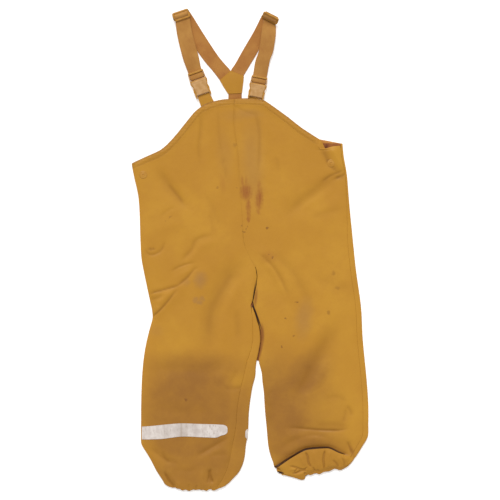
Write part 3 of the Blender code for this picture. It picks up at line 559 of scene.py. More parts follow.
def tape_finish(name):
    """Reflective tape: tiny beads under a cracked, soiled face."""
    f = Finish(name, 0.42)
    colour = f.mix(f.patches((9, 4, 0.6), 0.35, 0.7), (208, 196, 188), (227, 217, 209))
    colour = f.stained(colour, f.blots(f.place, TAPE_SOIL), 0.6, (172, 158, 148))
    grime = f.patches((5, 5, 0.68, f.stretched(0.6, 2.2)), 0.5, 0.74, 0.0, 0.6)
    colour = f.mix(grime, colour, (176, 160, 148))
    scratches = f.patches((1.3, 3, 0.6, f.stretched(0.4, 3, 8)), 0.66, 0.76, 0.0, 0.6)
    colour = f.mix(scratches, colour, (158, 138, 120))
    colour = f.mix(f.wear_and_shade(), colour, (150, 128, 104))
    beads = f.add("ShaderNodeTexVoronoi", {"Vector": f.place, "Scale": 2.2}).outputs["Distance"]
    return f.done(colour, f.bump(f.noise(4, 4, 0.6)[0], 0.3, 0.5, f.bump(beads, 0.05, 0.4)))


def thread_finish(name):
    """Twisted sewing thread."""
    f = Finish(name, 0.6)
    inputs = {"Vector": f.place, "Scale": 0.5}
    twist = f.add("ShaderNodeTexWave", inputs, bands_direction="DIAGONAL").outputs["Fac"]
    return f.done(f.mix(twist, (178, 126, 46), (196, 145, 62)), f.bump(twist, 0.06, 0.6), sheen=0.2)


CLOTH_FINISH = cloth_finish("coated_cloth_worn_and_shaded")
ANKLE_FINISH = cloth_finish("coated_cloth_ankle", soiling=0.35)
SHADED_INSIDE_FINISH = cloth_finish("cloth_inside_painted_shade", inside=True)
FRONT_WEBBING = webbing_finish("front_elastic", (174, 120, 54), (190, 137, 66))
REAR_WEBBING = webbing_finish("rear_elastic", (172, 112, 50), (184, 126, 58))
CLIP_FINISH = plastic_finish("clip_plastic_worn", (180, 127, 48), (194, 141, 62), 0.42)
# the plate's pale beige is partly its own colour and partly a painted reflection of the light on its satin
# face
SOCKET_FINISH = plastic_finish("socket_plastic_worn", (186, 140, 84), (201, 157, 104), 0.5)
SNAP_FINISH = plastic_finish("snap_plastic_worn", (181, 127, 44), (192, 139, 56), 0.4)
TAPE_FINISH = tape_finish("reflective_tape_worn")
THREAD_FINISH = thread_finish("sewing_thread")

# --- creases ---
# Creases: rise, negative for a trough; half width; crisp from 0, round, to 1, sharp; roll from -1 to 1, which
# makes the side on the right of the line the higher one; the points that the crease runs through
FRONT_CREASES = (
    # right half of the body and the thigh
    (-0.9, 7, 0.2, -0.3, ((-146, 130), (-142, 123), (-127, 99), (-112, 81), (-100, 63))),
    (-0.55, 3.2, 0.5, 0, ((-132, 106), (-120, 92), (-111, 80), (-103, 66))),
    (0.6, 6, 0.2, 0, ((-134, 128), (-120, 108), (-104, 88), (-90, 76))),
    (-1.2, 2.2, 0.8, 0.1, ((-168, 0), (-160, -8), (-152, -8), (-143, -3), (-138, 4), (-135, 15))),
    (-0.7, 2, 0.8, 0, ((-163, -1), (-154, 1), (-148, 0))),
    (-0.5, 2.6, 0.6, 0.3, ((-144, 51), (-131, 62), (-118, 68))),
    (-1, 3.6, 0.5, -0.3, ((-112, -22), (-104, -12), (-97, -5), (-92, 2), (-88, 13), (-76, 20), (-58, 23))),
    (0.7, 6, 0.2, 0, ((-104, -26), (-92, -14), (-80, 2), (-62, 10), (-44, 12))),
    (-1.1, 2, 0.8, 0.1, ((-127, -37), (-117, -30), (-108, -26), (-98, -23), (-87, -22))),
    (0.7, 5, 0.2, 0, ((-126, -50), (-110, -40), (-96, -34), (-82, -34))),
    (-1.7, 2.2, 0.9, 0.2, ((-163, -74), (-156, -70), (-142, -66), (-128, -62), (-116, -58), (-108, -52))),
    (-1.7, 2.6, 0.8, 0.2, ((-116, -58), (-108, -52), (-100, -45), (-95, -39), (-90, -33), (-82, -28))),
    (-1.1, 4, 0.5, 0.2, ((-160, -82), (-152, -79), (-144, -77), (-136, -72))),
    (-1.8, 2, 0.9, 0.2, ((-160, -116), (-154, -107), (-143, -97), (-131, -83), (-121, -70), (-113, -62))),
    (0.8, 5, 0.2, 0, ((-148, -90), (-136, -76), (-126, -66))),
    (-1.2, 13, 0.1, -0.1, ((-8, -18), (-28, -38), (-43, -62), (-58, -87), (-64, -112),
        (-66, -140), (-66, -168))),
    (0.8, 8, 0.2, 0, ((-12, -44), (-26, -70), (-36, -98), (-38, -128), (-38, -160))),
    (-0.7, 6, 0.2, 0, ((-22, -94), (-20, -120), (-19, -148))),
    (0.6, 8, 0.2, 0, ((-66, -24), (-86, -60), (-92, -100), (-90, -140))),
    (-0.5, 4, 0.5, 0.2, ((-74, 92), (-60, 66), (-48, 42), (-36, 34))),
    (-0.5, 3, 0.6, 0, ((-66, 60), (-60, 40), (-58, 24))),
    (0.5, 9, 0, 0, ((-150, 30), (-126, 40), (-104, 36))),
    # bib
    (-0.8, 3.4, 0.5, 0.4, ((-79, 222), (-79, 190), (-82, 160), (-78, 128))),
    (0.4, 5, 0.2, 0, ((-68, 214), (-68, 180), (-66, 140))),
    (-0.6, 2.6, 0.6, 0, ((-50, 224), (-50, 190), (-46, 160), (-44, 146))),
    (-0.7, 2.2, 0.7, 0, ((-45, 150), (-42, 136), (-38, 118), (-36, 104))),
    (-0.4, 2, 0.6, 0, ((-22, 230), (-24, 214), (-25, 196))),
    (-0.9, 2.6, 0.6, 0.4, ((5, 222), (11, 206), (15, 184), (15, 160), (13, 128), (10, 110))),
    (0.6, 5, 0.2, 0, ((24, 214), (26, 180), (24, 140))),
    (0.4, 5, 0.2, 0, ((-2, 212), (-2, 180), (-4, 140), (-4, 110))),
    (-0.5, 2.6, 0.6, 0, ((-30, 232), (-12, 222), (4, 216), (16, 218))),
    (-0.5, 3, 0.5, 0, ((40, 150), (44, 138), (46, 120))),
    # left half of the body and the thigh
    (-0.85, 7.5, 0.1, 0.3, ((140, 124), (126, 112), (108, 98), (90, 84), (72, 68), (52, 52))),
    (-1.1, 2, 0.8, 0.2, ((152, 128), (144, 124), (134, 120), (124, 115), (112, 106))),
    (0.5, 6, 0.2, 0, ((138, 102), (118, 86), (96, 72), (76, 60))),
    (-1.3, 5.6, 0.3, 0.5, ((115, 166), (117, 157), (121, 148), (127, 137), (135, 128), (147, 122))),
    (-1.3, 2.2, 0.8, 0.3, ((136, 112), (143, 116), (150, 119), (154, 124))),
    (-0.8, 3, 0.6, 0, ((130, 108), (138, 114), (148, 114), (154, 118))),
    (0.9, 4, 0.3, 0, ((128, 164), (136, 150), (144, 136), (150, 126))),
    (-1.1, 3, 0.7, 0.5, ((10, -7), (18, -10), (26, -17), (36, -27), (46, -42), (56, -62), (64, -80))),
    (0.7, 5, 0.2, 0, ((22, -22), (34, -36), (44, -54), (52, -72))),
    (-0.6, 7, 0.1, 0.3, ((26, -2), (48, -16), (70, -40), (90, -76), (98, -104))),
    (-0.5, 6, 0.2, 0, ((150, 66), (120, 58), (96, 50))),
    (0.5, 10, 0, 0, ((150, -20), (120, -14), (90, -6))),
    (-0.5, 8, 0.1, 0.2, ((160, -66), (130, -52), (104, -44))),
    # right knee and shin
    (-0.5, 9, 0.2, 0.1, ((-168, -191), (-130, -190), (-90, -193), (-50, -190), (-16, -192))),
    (0.3, 9, 0.2, 0, ((-150, -206), (-110, -205), (-60, -206))),
    (-0.9, 3, 0.5, 0.2, ((-42, -221), (-30, -223), (-18, -222), (-5, -219))),
    (0.6, 6, 0.2, 0, ((-52, -214), (-44, -198), (-38, -182))),
    (-0.7, 4, 0.5, 0, ((-20, -190), (-24, -200), (-30, -212), (-34, -220))),
    (-0.6, 8, 0.1, 0.2, ((-162, -250), (-120, -258), (-80, -260), (-50, -262))),
    (-1.5, 3.6, 0.6, 0.1, ((-32, -300), (-46, -307), (-58, -314), (-72, -322), (-88, -332))),
    (0.5, 4, 0.3, 0, ((-40, -315), (-54, -322), (-70, -331), (-80, -338))),
    (-0.8, 4, 0.4, 0, ((-34, -328), (-50, -328), (-64, -330))),
    (-1, 4.5, 0.4, 0.4, ((-160, -316), (-148, -326), (-136, -335), (-124, -340), (-112, -342))),
    (-0.8, 3.4, 0.5, 0.3, ((-140, -322), (-136, -333), (-128, -343))),
    (-0.7, 5, 0.4, 0.3, ((-120, -350), (-100, -354), (-80, -350))),
    (-2.3, 2.2, 0.8, 0.6, ((-138, -354), (-134, -362), (-129, -370), (-123, -378), (-120, -386))),
    (1, 3.5, 0.4, 0, ((-130, -350), (-124, -364), (-114, -376), (-111, -386))),
    (0.9, 3, 0.4, 0, ((-144, -360), (-136, -370), (-131, -380))),
    (-2.8, 2.4, 0.8, -0.5, ((-62, -350), (-64, -358), (-62, -366), (-58, -374))),
    (-1.2, 1.8, 0.8, 0, ((-64, -361), (-67, -368), (-67, -375))),
    (1, 3.2, 0.4, 0, ((-76, -352), (-76, -366), (-74, -384))),
    (1, 3, 0.4, 0, ((-54, -352), (-52, -366), (-54, -382))),
    (-0.9, 1.8, 0.6, 0, ((-97, -374), (-98, -380), (-97, -388))),
    (-1, 1.8, 0.6, 0, ((-84, -376), (-86, -382), (-85, -388))),
    (-0.9, 1.8, 0.6, 0, ((-63, -378), (-63, -384), (-63, -388))),
    (-0.8, 2.2, 0.5, 0, ((-46, -370), (-47, -378), (-48, -384))),
    (-0.6, 4, 0.3, 0, ((-28, -300), (-32, -330), (-40, -352))),
    # left knee and shin
    (-1.1, 13, 0.1, 0.4, ((140, -116), (124, -140), (106, -172), (90, -206), (76, -228), (58, -248))),
    (-0.4, 5, 0.3, 0, ((98, -184), (90, -200), (84, -214), (78, -226))),
    (0.8, 9, 0.1, 0, ((128, -170), (114, -200), (98, -226), (80, -248))),
    (-0.6, 4, 0.5, 0.2, ((120, -240), (132, -236), (146, -238), (156, -246))),
    (-1.1, 2.4, 0.7, 0.3, ((154, -250), (160, -258), (163, -268))),
    (-0.8, 3, 0.6, 0.2, ((153, -254), (152, -266), (148, -278))),
    (-1.9, 2.3, 0.8, 0, ((58, -285), (80, -286), (104, -288), (124, -289), (142, -289), (160, -286))),
    (-0.8, 6, 0.3, 0, ((100, -282), (124, -281), (148, -282), (160, -284))),
    (0.8, 6, 0.2, 0, ((52, -296), (76, -297), (100, -301), (124, -303))),
    (-1, 5, 0.3, 0.2, ((50, -320), (64, -308), (84, -300), (106, -297), (132, -303))),
    (0.9, 6, 0.2, 0, ((46, -334), (62, -322), (82, -313), (104, -309), (126, -309))),
    (-1.5, 2.6, 0.7, 0.2, ((155, -306), (159, -316), (164, -330))),
    (-0.7, 5, 0.3, 0, ((32, -240), (36, -262), (34, -290))),
    (-0.6, 3, 0.5, 0, ((34, -240), (32, -232), (40, -226))),
)
FLAP_EDGE = (
    (42, -352.5), (47, -346.5), (55.8, -340.2), (68.8, -331.6), (86.4, -321.8), (98.2, -319.3),
    (119.4, -317.8), (128, -318.6), (140.5, -324.4), (150, -327.6), (160, -331),
)
FLAP_HEM = (
    (44, -356), (54, -360.6), (71.7, -365.4), (82.3, -368.7), (87.6, -366.8), (88.9, -362.8),
    (94.2, -360.1), (104.8, -356.8), (111.5, -358.1), (118.1, -355.5), (124.7, -352.8), (136.7, -350.2),
    (143.3, -352.8), (148.6, -351.5), (157.9, -345.5), (166, -336.5),
)
FLAP_CREASES = (
    # gathers of the turned-up ankle
    (-2.2, 1.1, 0.8, 0.2, ((88, -323), (92, -331), (93, -339), (95, -344), (99, -348))),
    (1, 3.4, 0.4, 0, ((101, -320), (104, -332), (108, -344), (110, -352))),
    (0.8, 3, 0.4, 0, ((80, -328), (84, -338), (88, -346))),
    (-2.2, 1.1, 0.8, 0.2, ((120, -320), (118, -328), (117, -336), (118, -344), (118, -352))),
    (0.9, 3.4, 0.4, 0, ((127, -320), (126, -334), (126, -348))),
    (-1.9, 1, 0.8, 0.2, ((63, -346), (72, -348), (80, -351), (87, -353), (94, -355))),
    (-1.8, 1, 0.8, -0.2, ((67, -358), (74, -357), (80, -354), (86, -352), (92, -347))),
    (-1.4, 1, 0.8, 0, ((70, -356), (74, -352), (76, -348))),
    (-1.3, 1.2, 0.7, 0, ((86, -356), (90, -361), (98, -358))),
    (0.8, 2.4, 0.4, 0, ((62, -352), (72, -352), (76, -354))),
    (0.9, 2.4, 0.4, 0, ((74, -361), (84, -358), (92, -351))),
    (-1.1, 1.5, 0.7, 0, ((87, -354), (88, -359), (91, -363))),
    (-0.9, 1.5, 0.6, 0, ((100, -347), (103, -352), (105, -358))),
    (-0.8, 1.4, 0.6, 0, ((108, -350), (109, -354), (113, -358))),
    (-0.8, 2, 0.6, 0.3, ((131, -336), (138, -342), (142, -350))),
    (-0.7, 2, 0.6, 0, ((146, -332), (150, -340), (150, -350))),
    (0.7, 3, 0.4, 0, ((140, -330), (146, -340), (146, -350))),
)
FLAP_TUCK = (
    # the leg dives under the edge of the turned-up ankle
    (-3.4, 3.6, 0.6, 0, FLAP_EDGE),
    (-1.6, 2, 0.6, 0, ((41, -354), (47, -357), (55, -358))),
)
BACK_CREASES = (
    (0.45, 8, 0.2, 0, ((-150, 118), (-110, 84), (-60, 60))),
    (0.45, 9, 0.1, 0, ((140, 126), (100, 96), (50, 72))),
    (0.5, 5, 0.5, 0, ((-10, 12), (-34, -14), (-62, -34), (-90, -40))),
    (0.5, 5, 0.5, 0, ((16, 10), (40, -16), (66, -40), (96, -48))),
    (0.45, 3.4, 0.6, 0, ((-162, -84), (-124, -62), (-84, -52))),
    (0.45, 3.4, 0.6, 0, ((164, -70), (128, -50), (92, -44))),
    (0.5, 4.4, 0.4, 0, ((-164, -196), (-120, -188), (-70, -194), (-30, -188))),
    (0.5, 4.4, 0.4, 0, ((40, -206), (90, -198), (140, -206), (176, -200))),
    (0.45, 4.4, 0.4, 0, ((-150, -292), (-104, -304), (-60, -298))),
    (0.45, 4.4, 0.4, 0, ((56, -292), (100, -302), (150, -296))),
    (0.5, 2.4, 0.6, 0, ((-112, -342), (-108, -360), (-108, -384))),
    (0.5, 2.4, 0.6, 0, ((-82, -346), (-80, -364), (-82, -384))),
    (0.5, 2.4, 0.6, 0, ((84, -332), (88, -346), (88, -362))),
    (0.5, 2.4, 0.6, 0, ((120, -326), (122, -340), (120, -356))),
)
# Small shifts of the outline, mostly at the gathered ankles: x, y, reach, shift in x, shift in y
HEM_NUDGES = (
    # the outer edge of the right leg
    (-186, 100, 34, -0.4, 0),
    (-182, 66, 34, -0.7, 0),
    (-178, 32, 34, -0.8, 0),
    (-176, -2, 34, -0.9, 0),
    (-172, -36, 34, -0.8, 0),
    (-164, -70, 34, -0.6, 0),
    (-166, -150, 34, -0.8, 0),
    (-172, -184, 34, -0.9, 0),
    (-174, -218, 34, -0.8, 0),
    (-174, -252, 34, -0.7, 0),
    (-173, -286, 30, -0.7, 0),
    (-171, -310, 12, -2, -1.4),
    # the inner edges of both legs
    (8, -203, 12, 2, 0),
    (-4.6, -295, 18, 1.4, 0),
    (-9, -330, 16, 1.2, 0),
    (-26, -368, 12, -1.6, 1.3),
    (22, -212, 14, -2, 0),
    (26, -236, 24, -1.7, 0),
    (28, -260, 24, -1.7, 0),
    (30, -284, 24, -1.7, 0),
    (31, -308, 24, -1.6, 0),
    (36, -332, 20, -2, 0),
    (40, -350, 7, -3.6, 0),
    # the corner of the left ankle
    (186, -298, 13, 2.2, -0.6),
    # the slit
    (4, -88, 8, 0, 2.5),
    (12.2, -58, 4, 0.6, 0),
    (6.4, -58, 4, -0.5, 0),
    (10.6, -102, 5, 0.7, 0),
    (4.4, -102, 5, -0.4, 0),
    (16.2, -120, 5, 0.6, 0),
    (10.8, -118, 5, -0.4, 0),
    # the gathered ankles
    (-136, -377, 7, -3.2, -1.6),
    (-109, -386, 6, 0, -2),
    (-97, -386, 5, 0, -1.6),
    (-90, -386, 2.6, 0, 1.4),
    (-80.5, -386, 2.4, 0, 1.4),
    (-70, -386, 4, 0, -1.4),
    (-63, -386, 2.6, 0, 1.2),
    (-56, -385, 5, 0.6, -2.8),
    (-38, -378, 6, -1.6, 1),
    (46.5, -357, 8, -0.6, 4),
    (61, -363, 6, 0, 2),
    (82, -364, 5, 1, -4.6),
    (92, -362, 4, 1, 1.4),
    (104, -359, 3, 0, 1.4),
    (111.5, -358, 3, 0, -1),
    (136.5, -351, 4, 0, 1.2),
    (144, -349, 5, 0, -3.4),
)


def nudged(points):
    """The (x, y) points with the outline's small bulges and dips."""
    moved = points.copy()
    for x, y, reach, shift_x, shift_y in HEM_NUDGES:
        near = np.exp(-(((points - (x, y)) ** 2).sum(axis=1)) / reach**2)
        moved += near[:, None] * (shift_x, shift_y)
    return moved


def crease_heights(points, creases):
    """The rise of all the creases at each (x, y) point."""
    total = np.zeros(len(points))
    for rise, wide, crisp, roll, course in creases:
        line = curve_through(course, max(1.5, wide * 0.6))
        margin = 3.2 * wide
        near = np.all((points > line.min(axis=0) - margin) & (points < line.max(axis=0) + margin), axis=1)
        spots = points[near]
        if not len(spots):
            continue
        reach = lengths(line)
        best = np.full(len(spots), np.inf)
        side = np.zeros(len(spots))
        part = np.zeros(len(spots))
        for k, (a, b) in enumerate(zip(line[:-1], line[1:])):
            run = b - a
            size = max(np.linalg.norm(run), 1e-6)
            t = np.clip(((spots - a) @ run) / size**2, 0, 1)
            away = spots - a - t[:, None] * run
            gap = np.linalg.norm(away, axis=1)
            closer = gap < best
            best = np.where(closer, gap, best)
            side = np.where(closer, (away[:, 0] * run[1] - away[:, 1] * run[0]) / size, side)
            part = np.where(closer, (reach[k] + t * size) / reach[-1], part)
        t = best / wide
        fade = smooth(0.15 + 3.4 * part) * smooth(0.15 + 3.0 * (1 - part))
        ridge = np.exp(-(np.maximum(t, 1e-6) ** (2 - 0.9 * crisp)))
        sloped = np.sign(side) * smooth(np.abs(side) / wide) * bell(t / 1.9)
        total[near] += rise * fade * (ridge - 0.45 * roll * sloped)
    return total


# --- panels ---
# The bib's edge from the right armpit over the top to the left armpit
FREE_EDGE = curve_through(
    (
        (-189.4, 137.4), (-165.6, 148.1), (-144, 157.4), (-124.8, 175), (-105.6, 198.2), (-89.9, 217.8),
        (-78.7, 227.4), (-56, 236.6), (-25, 241), (0, 240.8), (23.2, 237.7), (38.4, 227.3), (60.8, 211),
        (83.2, 193.2), (101.6, 181.4), (113, 174.6),
    ),
    3.0,
)
CENTRE_SEAM = curve_through(
    ((-25.2, 236), (-25.4, 226), (-23.4, 183), (-19.8, 159), (-16, 106), (-12, 53), (-6.6, 0)), 3.0
)
HEM_ENDS = 112.0  # the bib's turned hem runs out at this X, under the left armpit
RIM_TURN = 62  # edges that turn by more than this many degrees are a panel's rim
RIM_HOLD, CORNER_HOLD = 0.85, 0.8  # how firmly the rim keeps its place in the subdivision
CALM_EDGE = 14.0  # creases fade out over this width along the bib's edge
FOLD_SHARE = 0.8  # of a crease's rise that shapes the cloth
PUCKER_WIDE = 9.0
# Soft stripes along the stitching of the hem, the centre seam, the bib's edge, which is darker, and the
# turned-up ankle's edge, where they are painted shadow and painted shade: strength, half width
HEM_SINK = (-0.3, 1.3)
CENTRE_SINK, CENTRE_RIDGE = (0.2, 2.2), (0.1, 2.0)
CENTRE_RIDGE_AT = 4.5
EDGE_DARKER, STITCHING_WORN, CENTRE_WORN = (0.4, 1.5), (0.06, 1.4), (0.1, 1.6)
# painted shadow and painted shade where the leg dives under the turned-up ankle's edge
TUCK_SHADOW, TUCK_SHADE = (1.6, 2.2), (0.85, 5.5)


def seam_shows(y):
    """How much the centre seam shows: plain on the bib and flat under the coating further down."""
    return 0.12 + 0.88 * smooth((y - 96.0) / 30.0)


def panel_mesh(name, node):
    """A finer copy of a panel's solid, round inside its rims and true to its outline."""
    shape = bmesh.new()
    shape.from_mesh(nodes[node].data)
    bmesh.ops.remove_doubles(shape, verts=shape.verts, dist=WELD)
    flat, square = math.radians(60), math.radians(80)
    bmesh.ops.join_triangles(
        shape, faces=shape.faces, angle_face_threshold=flat, angle_shape_threshold=square
    )
    rim = shape.edges.layers.float.new("crease_edge")
    corner = shape.verts.layers.float.new("crease_vert")
    for edge in shape.edges:
        if len(edge.link_faces) == 2 and edge.calc_face_angle() > math.radians(RIM_TURN):
            edge[rim] = RIM_HOLD
            for vert in edge.verts:
                vert[corner] = CORNER_HOLD
    rough = linked(name + "_rough", mesh_of(name, shape))
    rounding = rough.modifiers.new("rounding", "SUBSURF")
    rounding.levels = rounding.render_levels = 2
    fine = applied(rough)
    bpy.data.objects.remove(rough)
    fine.materials.clear()
    return fine


def front_rise(points, facing, folds, from_edge, from_seam, hemmed):
    """How far the front is pressed up or down: creases, puckers, the hem's stitching and the centre seam."""
    x, y, z = points.T
    rise = FOLD_SHARE * folds
    pucker = 0.16 * np.sin(x * 0.9 + 2 * np.sin(y * 0.35)) + 0.12 * np.sin(y * 1.3)
    rise += pucker * bell(from_edge / PUCKER_WIDE)
    rise += np.where(facing > 0.2, band(from_edge - HEM, *HEM_SINK), 0) * hemmed
    seam = band(from_seam, *CENTRE_SINK) - band(from_seam - CENTRE_RIDGE_AT, *CENTRE_RIDGE)
    rise -= seam_shows(y) * seam
    own_low = np.where(facing < 0, z, z - CLOTH)
    return np.maximum(rise, np.minimum(CLOTH + 0.25 * GAP - own_low, 0))


def front_wear_and_shade(flat, folds, from_edge, from_seam, hemmed):
    """How dark the front is: darker along its edge, worn along its stitching and seam, and with painted shade
    in its folds and under the turned-up ankle's edge.
    """
    wear_and_shade = 0.3 * smooth(1.5 - from_edge / HEM) + band(from_edge, *EDGE_DARKER)
    wear_and_shade += band(from_edge - HEM, *STITCHING_WORN)
    wear_and_shade = wear_and_shade * hemmed + seam_shows(flat[:, 1]) * band(from_seam, *CENTRE_WORN)
    # painted shade in the troughs of the folds
    wear_and_shade += np.clip(-folds * 0.28, 0, 0.42) + np.clip((-folds - 0.9) * 0.4, 0, 0.5)
    # painted shadow and shade under the turned-up ankle's edge, lighter towards its end
    tucked = distance_to(flat, curve_through(FLAP_EDGE[:-1], 2.0))
    closing = 1.0 - 0.5 * smooth((flat[:, 0] - 106.0) / 26.0)
    return wear_and_shade + closing * (band(tucked, *TUCK_SHADOW) + band(tucked, *TUCK_SHADE))


def front_relief(points, facing, creases):
    """The rise, and the wear and painted shade, of a front panel at each point of its finer mesh."""
    flat = points[:, :2]
    from_edge = distance_to(flat, FREE_EDGE)
    from_seam = distance_to(flat, CENTRE_SEAM)
    folds = crease_heights(flat, creases) * smooth(from_edge / CALM_EDGE)
    hemmed = smooth((HEM_ENDS - flat[:, 0]) / 12.0)
    rise = front_rise(points, facing, folds, from_edge, from_seam, hemmed)
    return rise, front_wear_and_shade(flat, folds, from_edge, from_seam, hemmed)


def back_relief(points, creases):
    """The rise of a back panel: its own low creases, and the front's where it comes round to the front."""
    flat = points[:, :2]
    under = smooth((0.9 - points[:, 2]) / 0.6)
    strip = smooth((points[:, 2] - 2.4) / 1.2)
    rise = crease_heights(flat, creases) * under + strip * 0.6 * crease_heights(flat, FRONT_CREASES)
    return np.where(under > 0.5, np.maximum(rise, 0), rise)


def panel(name, node, creases, front=True):
    """A panel of cloth: the solid's form with the listed creases pressed into it."""
    mesh = panel_mesh(name, node)
    shape = bmesh.new()
    shape.from_mesh(mesh)
    bpy.data.meshes.remove(mesh)
    if front:
        on_top = [e for e in shape.edges if all(face.normal.z > 0.3 for face in e.link_faces)]
        bmesh.ops.subdivide_edges(shape, edges=on_top, cuts=1, use_grid_fill=True)
    shape.normal_update()
    points = np.array([v.co for v in shape.verts]) / MM
    facing = np.array([v.normal.z for v in shape.verts])
    if front:
        rise, wear_and_shade = front_relief(points, facing, creases)
    else:
        rise, wear_and_shade = back_relief(points, creases), np.zeros(len(points))
    for vert, (x, y), lift in zip(shape.verts, nudged(points[:, :2]), rise):
        vert.co = (x * MM, y * MM, vert.co.z + lift * MM)
    # the back's inside faces take the finish that is brown with painted shade
    finishes = [CLOTH_FINISH] if front else [CLOTH_FINISH, SHADED_INSIDE_FINISH]
    if not front:
        for face in shape.faces:
            inner = face.normal.z > 0.5 and face.calc_center_median().z < 2.0 * MM
            face.material_index = 1 if inner else 0
    fine = mesh_of(name, shape)
    set_wear_and_shade(fine, wear_and_shade)
    return finish_piece(name, fine, finishes, 60, node)


# --- seams and the turned-up ankle ---
SEAM_HALF = 1.5
SEAM_WORN = 0.15
SEAM_GROOVE = 0.35  # a side seam's depth
CENTRE_GROOVE = 0.22  # the centre seam's depth where it shows in full
UPPER_CLOTH = 1.6  # a surface above this height belongs to an upper cloth
# the cloth at the bottom of the slit is painted dark brown as the slit's shade
SLIT_HALF, SLIT_HIGH, SLIT_WALL = 3.2, 0.8, 0.5  # the cloth at the bottom of the slit between the legs


def seam_strip(name, line, half, heights, finish, wear_and_shade_at, deep=0.6):
    """A strip of cloth that closes a seam from below, with its top at the given heights."""
    count = len(line) - 1
    shape, places = grid(count, 2)
    left, right = offset_line(line, -half), offset_line(line, half)
    for vert, along, across in places:
        k = round(along * count)
        vert.co = (*(left[k] + (right[k] - left[k]) * across), heights[k])
    upward(shape)
    walled(shape, deep)
    thing = new_object(name, shape, finish, 50)
    set_wear_and_shade(thing.data, [wear_and_shade_at(y) for y in points_of(thing)[:, 1]])
    return thing


def sewn_seam(name, line, tops, shows=None):
    """The strip under a sewn seam: the lower of the two cloths beside it, less a shallow groove."""
    heights = []
    beside = zip(offset_line(line, -ROW_REACH), offset_line(line, ROW_REACH))
    for (_, y), spots in zip(line, beside):
        found = [top(*spot) for spot in spots for top in tops]
        found = [h for h in found if h is not None and h > UPPER_CLOTH]
        groove = CENTRE_GROOVE * shows(y) if shows else SEAM_GROOVE
        heights.append(min(found) - groove if found else (heights[-1] if heights else 2.5))
    evened = np.convolve(np.pad(heights, 2, mode="edge"), np.ones(5) / 5, mode="valid")
    return seam_strip(name, line, SEAM_HALF, evened, CLOTH_FINISH, lambda y: SEAM_WORN)


def shaded_slit(y):
    """How dark the painted shade at the bottom of the slit between the legs is: deepest from the crotch to
    the first bend.
    """
    return 2.0 - 1.0 * float(smooth((-118.0 - y) / 22.0))


def spaced(line, count):
    """The line's points at even steps along it."""
    reach = lengths(line)
    shares = np.linspace(0, 1, count + 1)
    return np.stack([np.interp(shares * reach[-1], reach, line[:, k]) for k in (0, 1)], axis=1)


FLAP_COLUMNS, FLAP_ROWS = 220, 70
FLAP_LIFT, FLAP_LIFT_INSIDE = 0.25, 0.75  # the flap's rise over the panel, and the more that it has inside
FLAP_HEM_DROP = 1.9  # how far it comes down over the last sixth of its rows
UNFOUND_HEIGHT = 4.0  # where the flap finds no cloth below


def flap(top_at):
    """The ankle of the left leg, turned up over the front: a cloth of its own over the panel's bulge."""
    across = FLAP_COLUMNS
    edge, hem = [spaced(curve_through(line, 1.0), across) for line in (FLAP_EDGE, FLAP_HEM)]
    shape, places = grid(across, FLAP_ROWS)
    spots, wear_and_shade = [], []
    for _, share, above in places:
        k, part = round(share * across), 1 - above
        x, y = edge[k] + (hem[k] - edge[k]) * part
        inner = 0.14 + 0.76 * part  # the height is read a little inside the rim
        height = top_at(*(edge[k] + (hem[k] - edge[k]) * inner))
        height = UNFOUND_HEIGHT if height is None else height
        ends = smooth(min(k, across - k) / across * 9)
        lift = FLAP_LIFT + FLAP_LIFT_INSIDE * ends - FLAP_HEM_DROP * max(0.0, part - 0.84) / 0.16
        spots.append((x, y, height + lift))
        wear_and_shade.append(0.4 * max(0.0, part - 0.9) / 0.1)
    spots = np.array(spots)
    folds = crease_heights(spots[:, :2], FLAP_CREASES)
    spots[:, 2] = np.maximum(spots[:, 2] + folds, CLOTH + GAP)
    # painted shade in the troughs of the gathers
    wear_and_shade = np.array(wear_and_shade) + np.clip(-folds * 0.8, 0, 1.3)
    wear_and_shade_layer = shape.verts.layers.float.new("wear_and_shade")
    for vert, spot, value in zip(shape.verts, spots, wear_and_shade):
        vert.co = spot
        vert[wear_and_shade_layer] = value
    upward(shape)
    walled(shape, CLOTH)
    off_floor(shape)
    return new_object("cloth_turned_up_ankle", shape, ANKLE_FINISH, 60)


STITCH_PITCH, STITCH_LONG, STITCH_RADIUS = 3.0, 2.3, 0.28


def stitches(name, row, top_at):
    """A row of stitches as small raised threads on the cloth, joined into one piece."""
    shape = bmesh.new()
    line = curve_through(row, 0.5)
    reach = lengths(line)
    size = Matrix.Diagonal((STITCH_LONG / 2, STITCH_RADIUS, STITCH_RADIUS, 1))
    for s in np.arange(STITCH_PITCH / 2, reach[-1] - STITCH_PITCH / 2, STITCH_PITCH):
        (x, ahead_x), (y, ahead_y) = [np.interp((s, s + 0.5), reach, line[:, k]) for k in (0, 1)]
        height = top_at(x, y)
        if height is None:
            continue
        place = Matrix.Translation((x, y, height + STITCH_RADIUS * 0.35))
        turn = Matrix.Rotation(math.atan2(ahead_y - y, ahead_x - x), 4, "Z")
        bmesh.ops.create_uvsphere(shape, u_segments=6, v_segments=5, radius=1.0, matrix=place @ turn @ size)
    return new_object(name, shape, THREAD_FINISH)


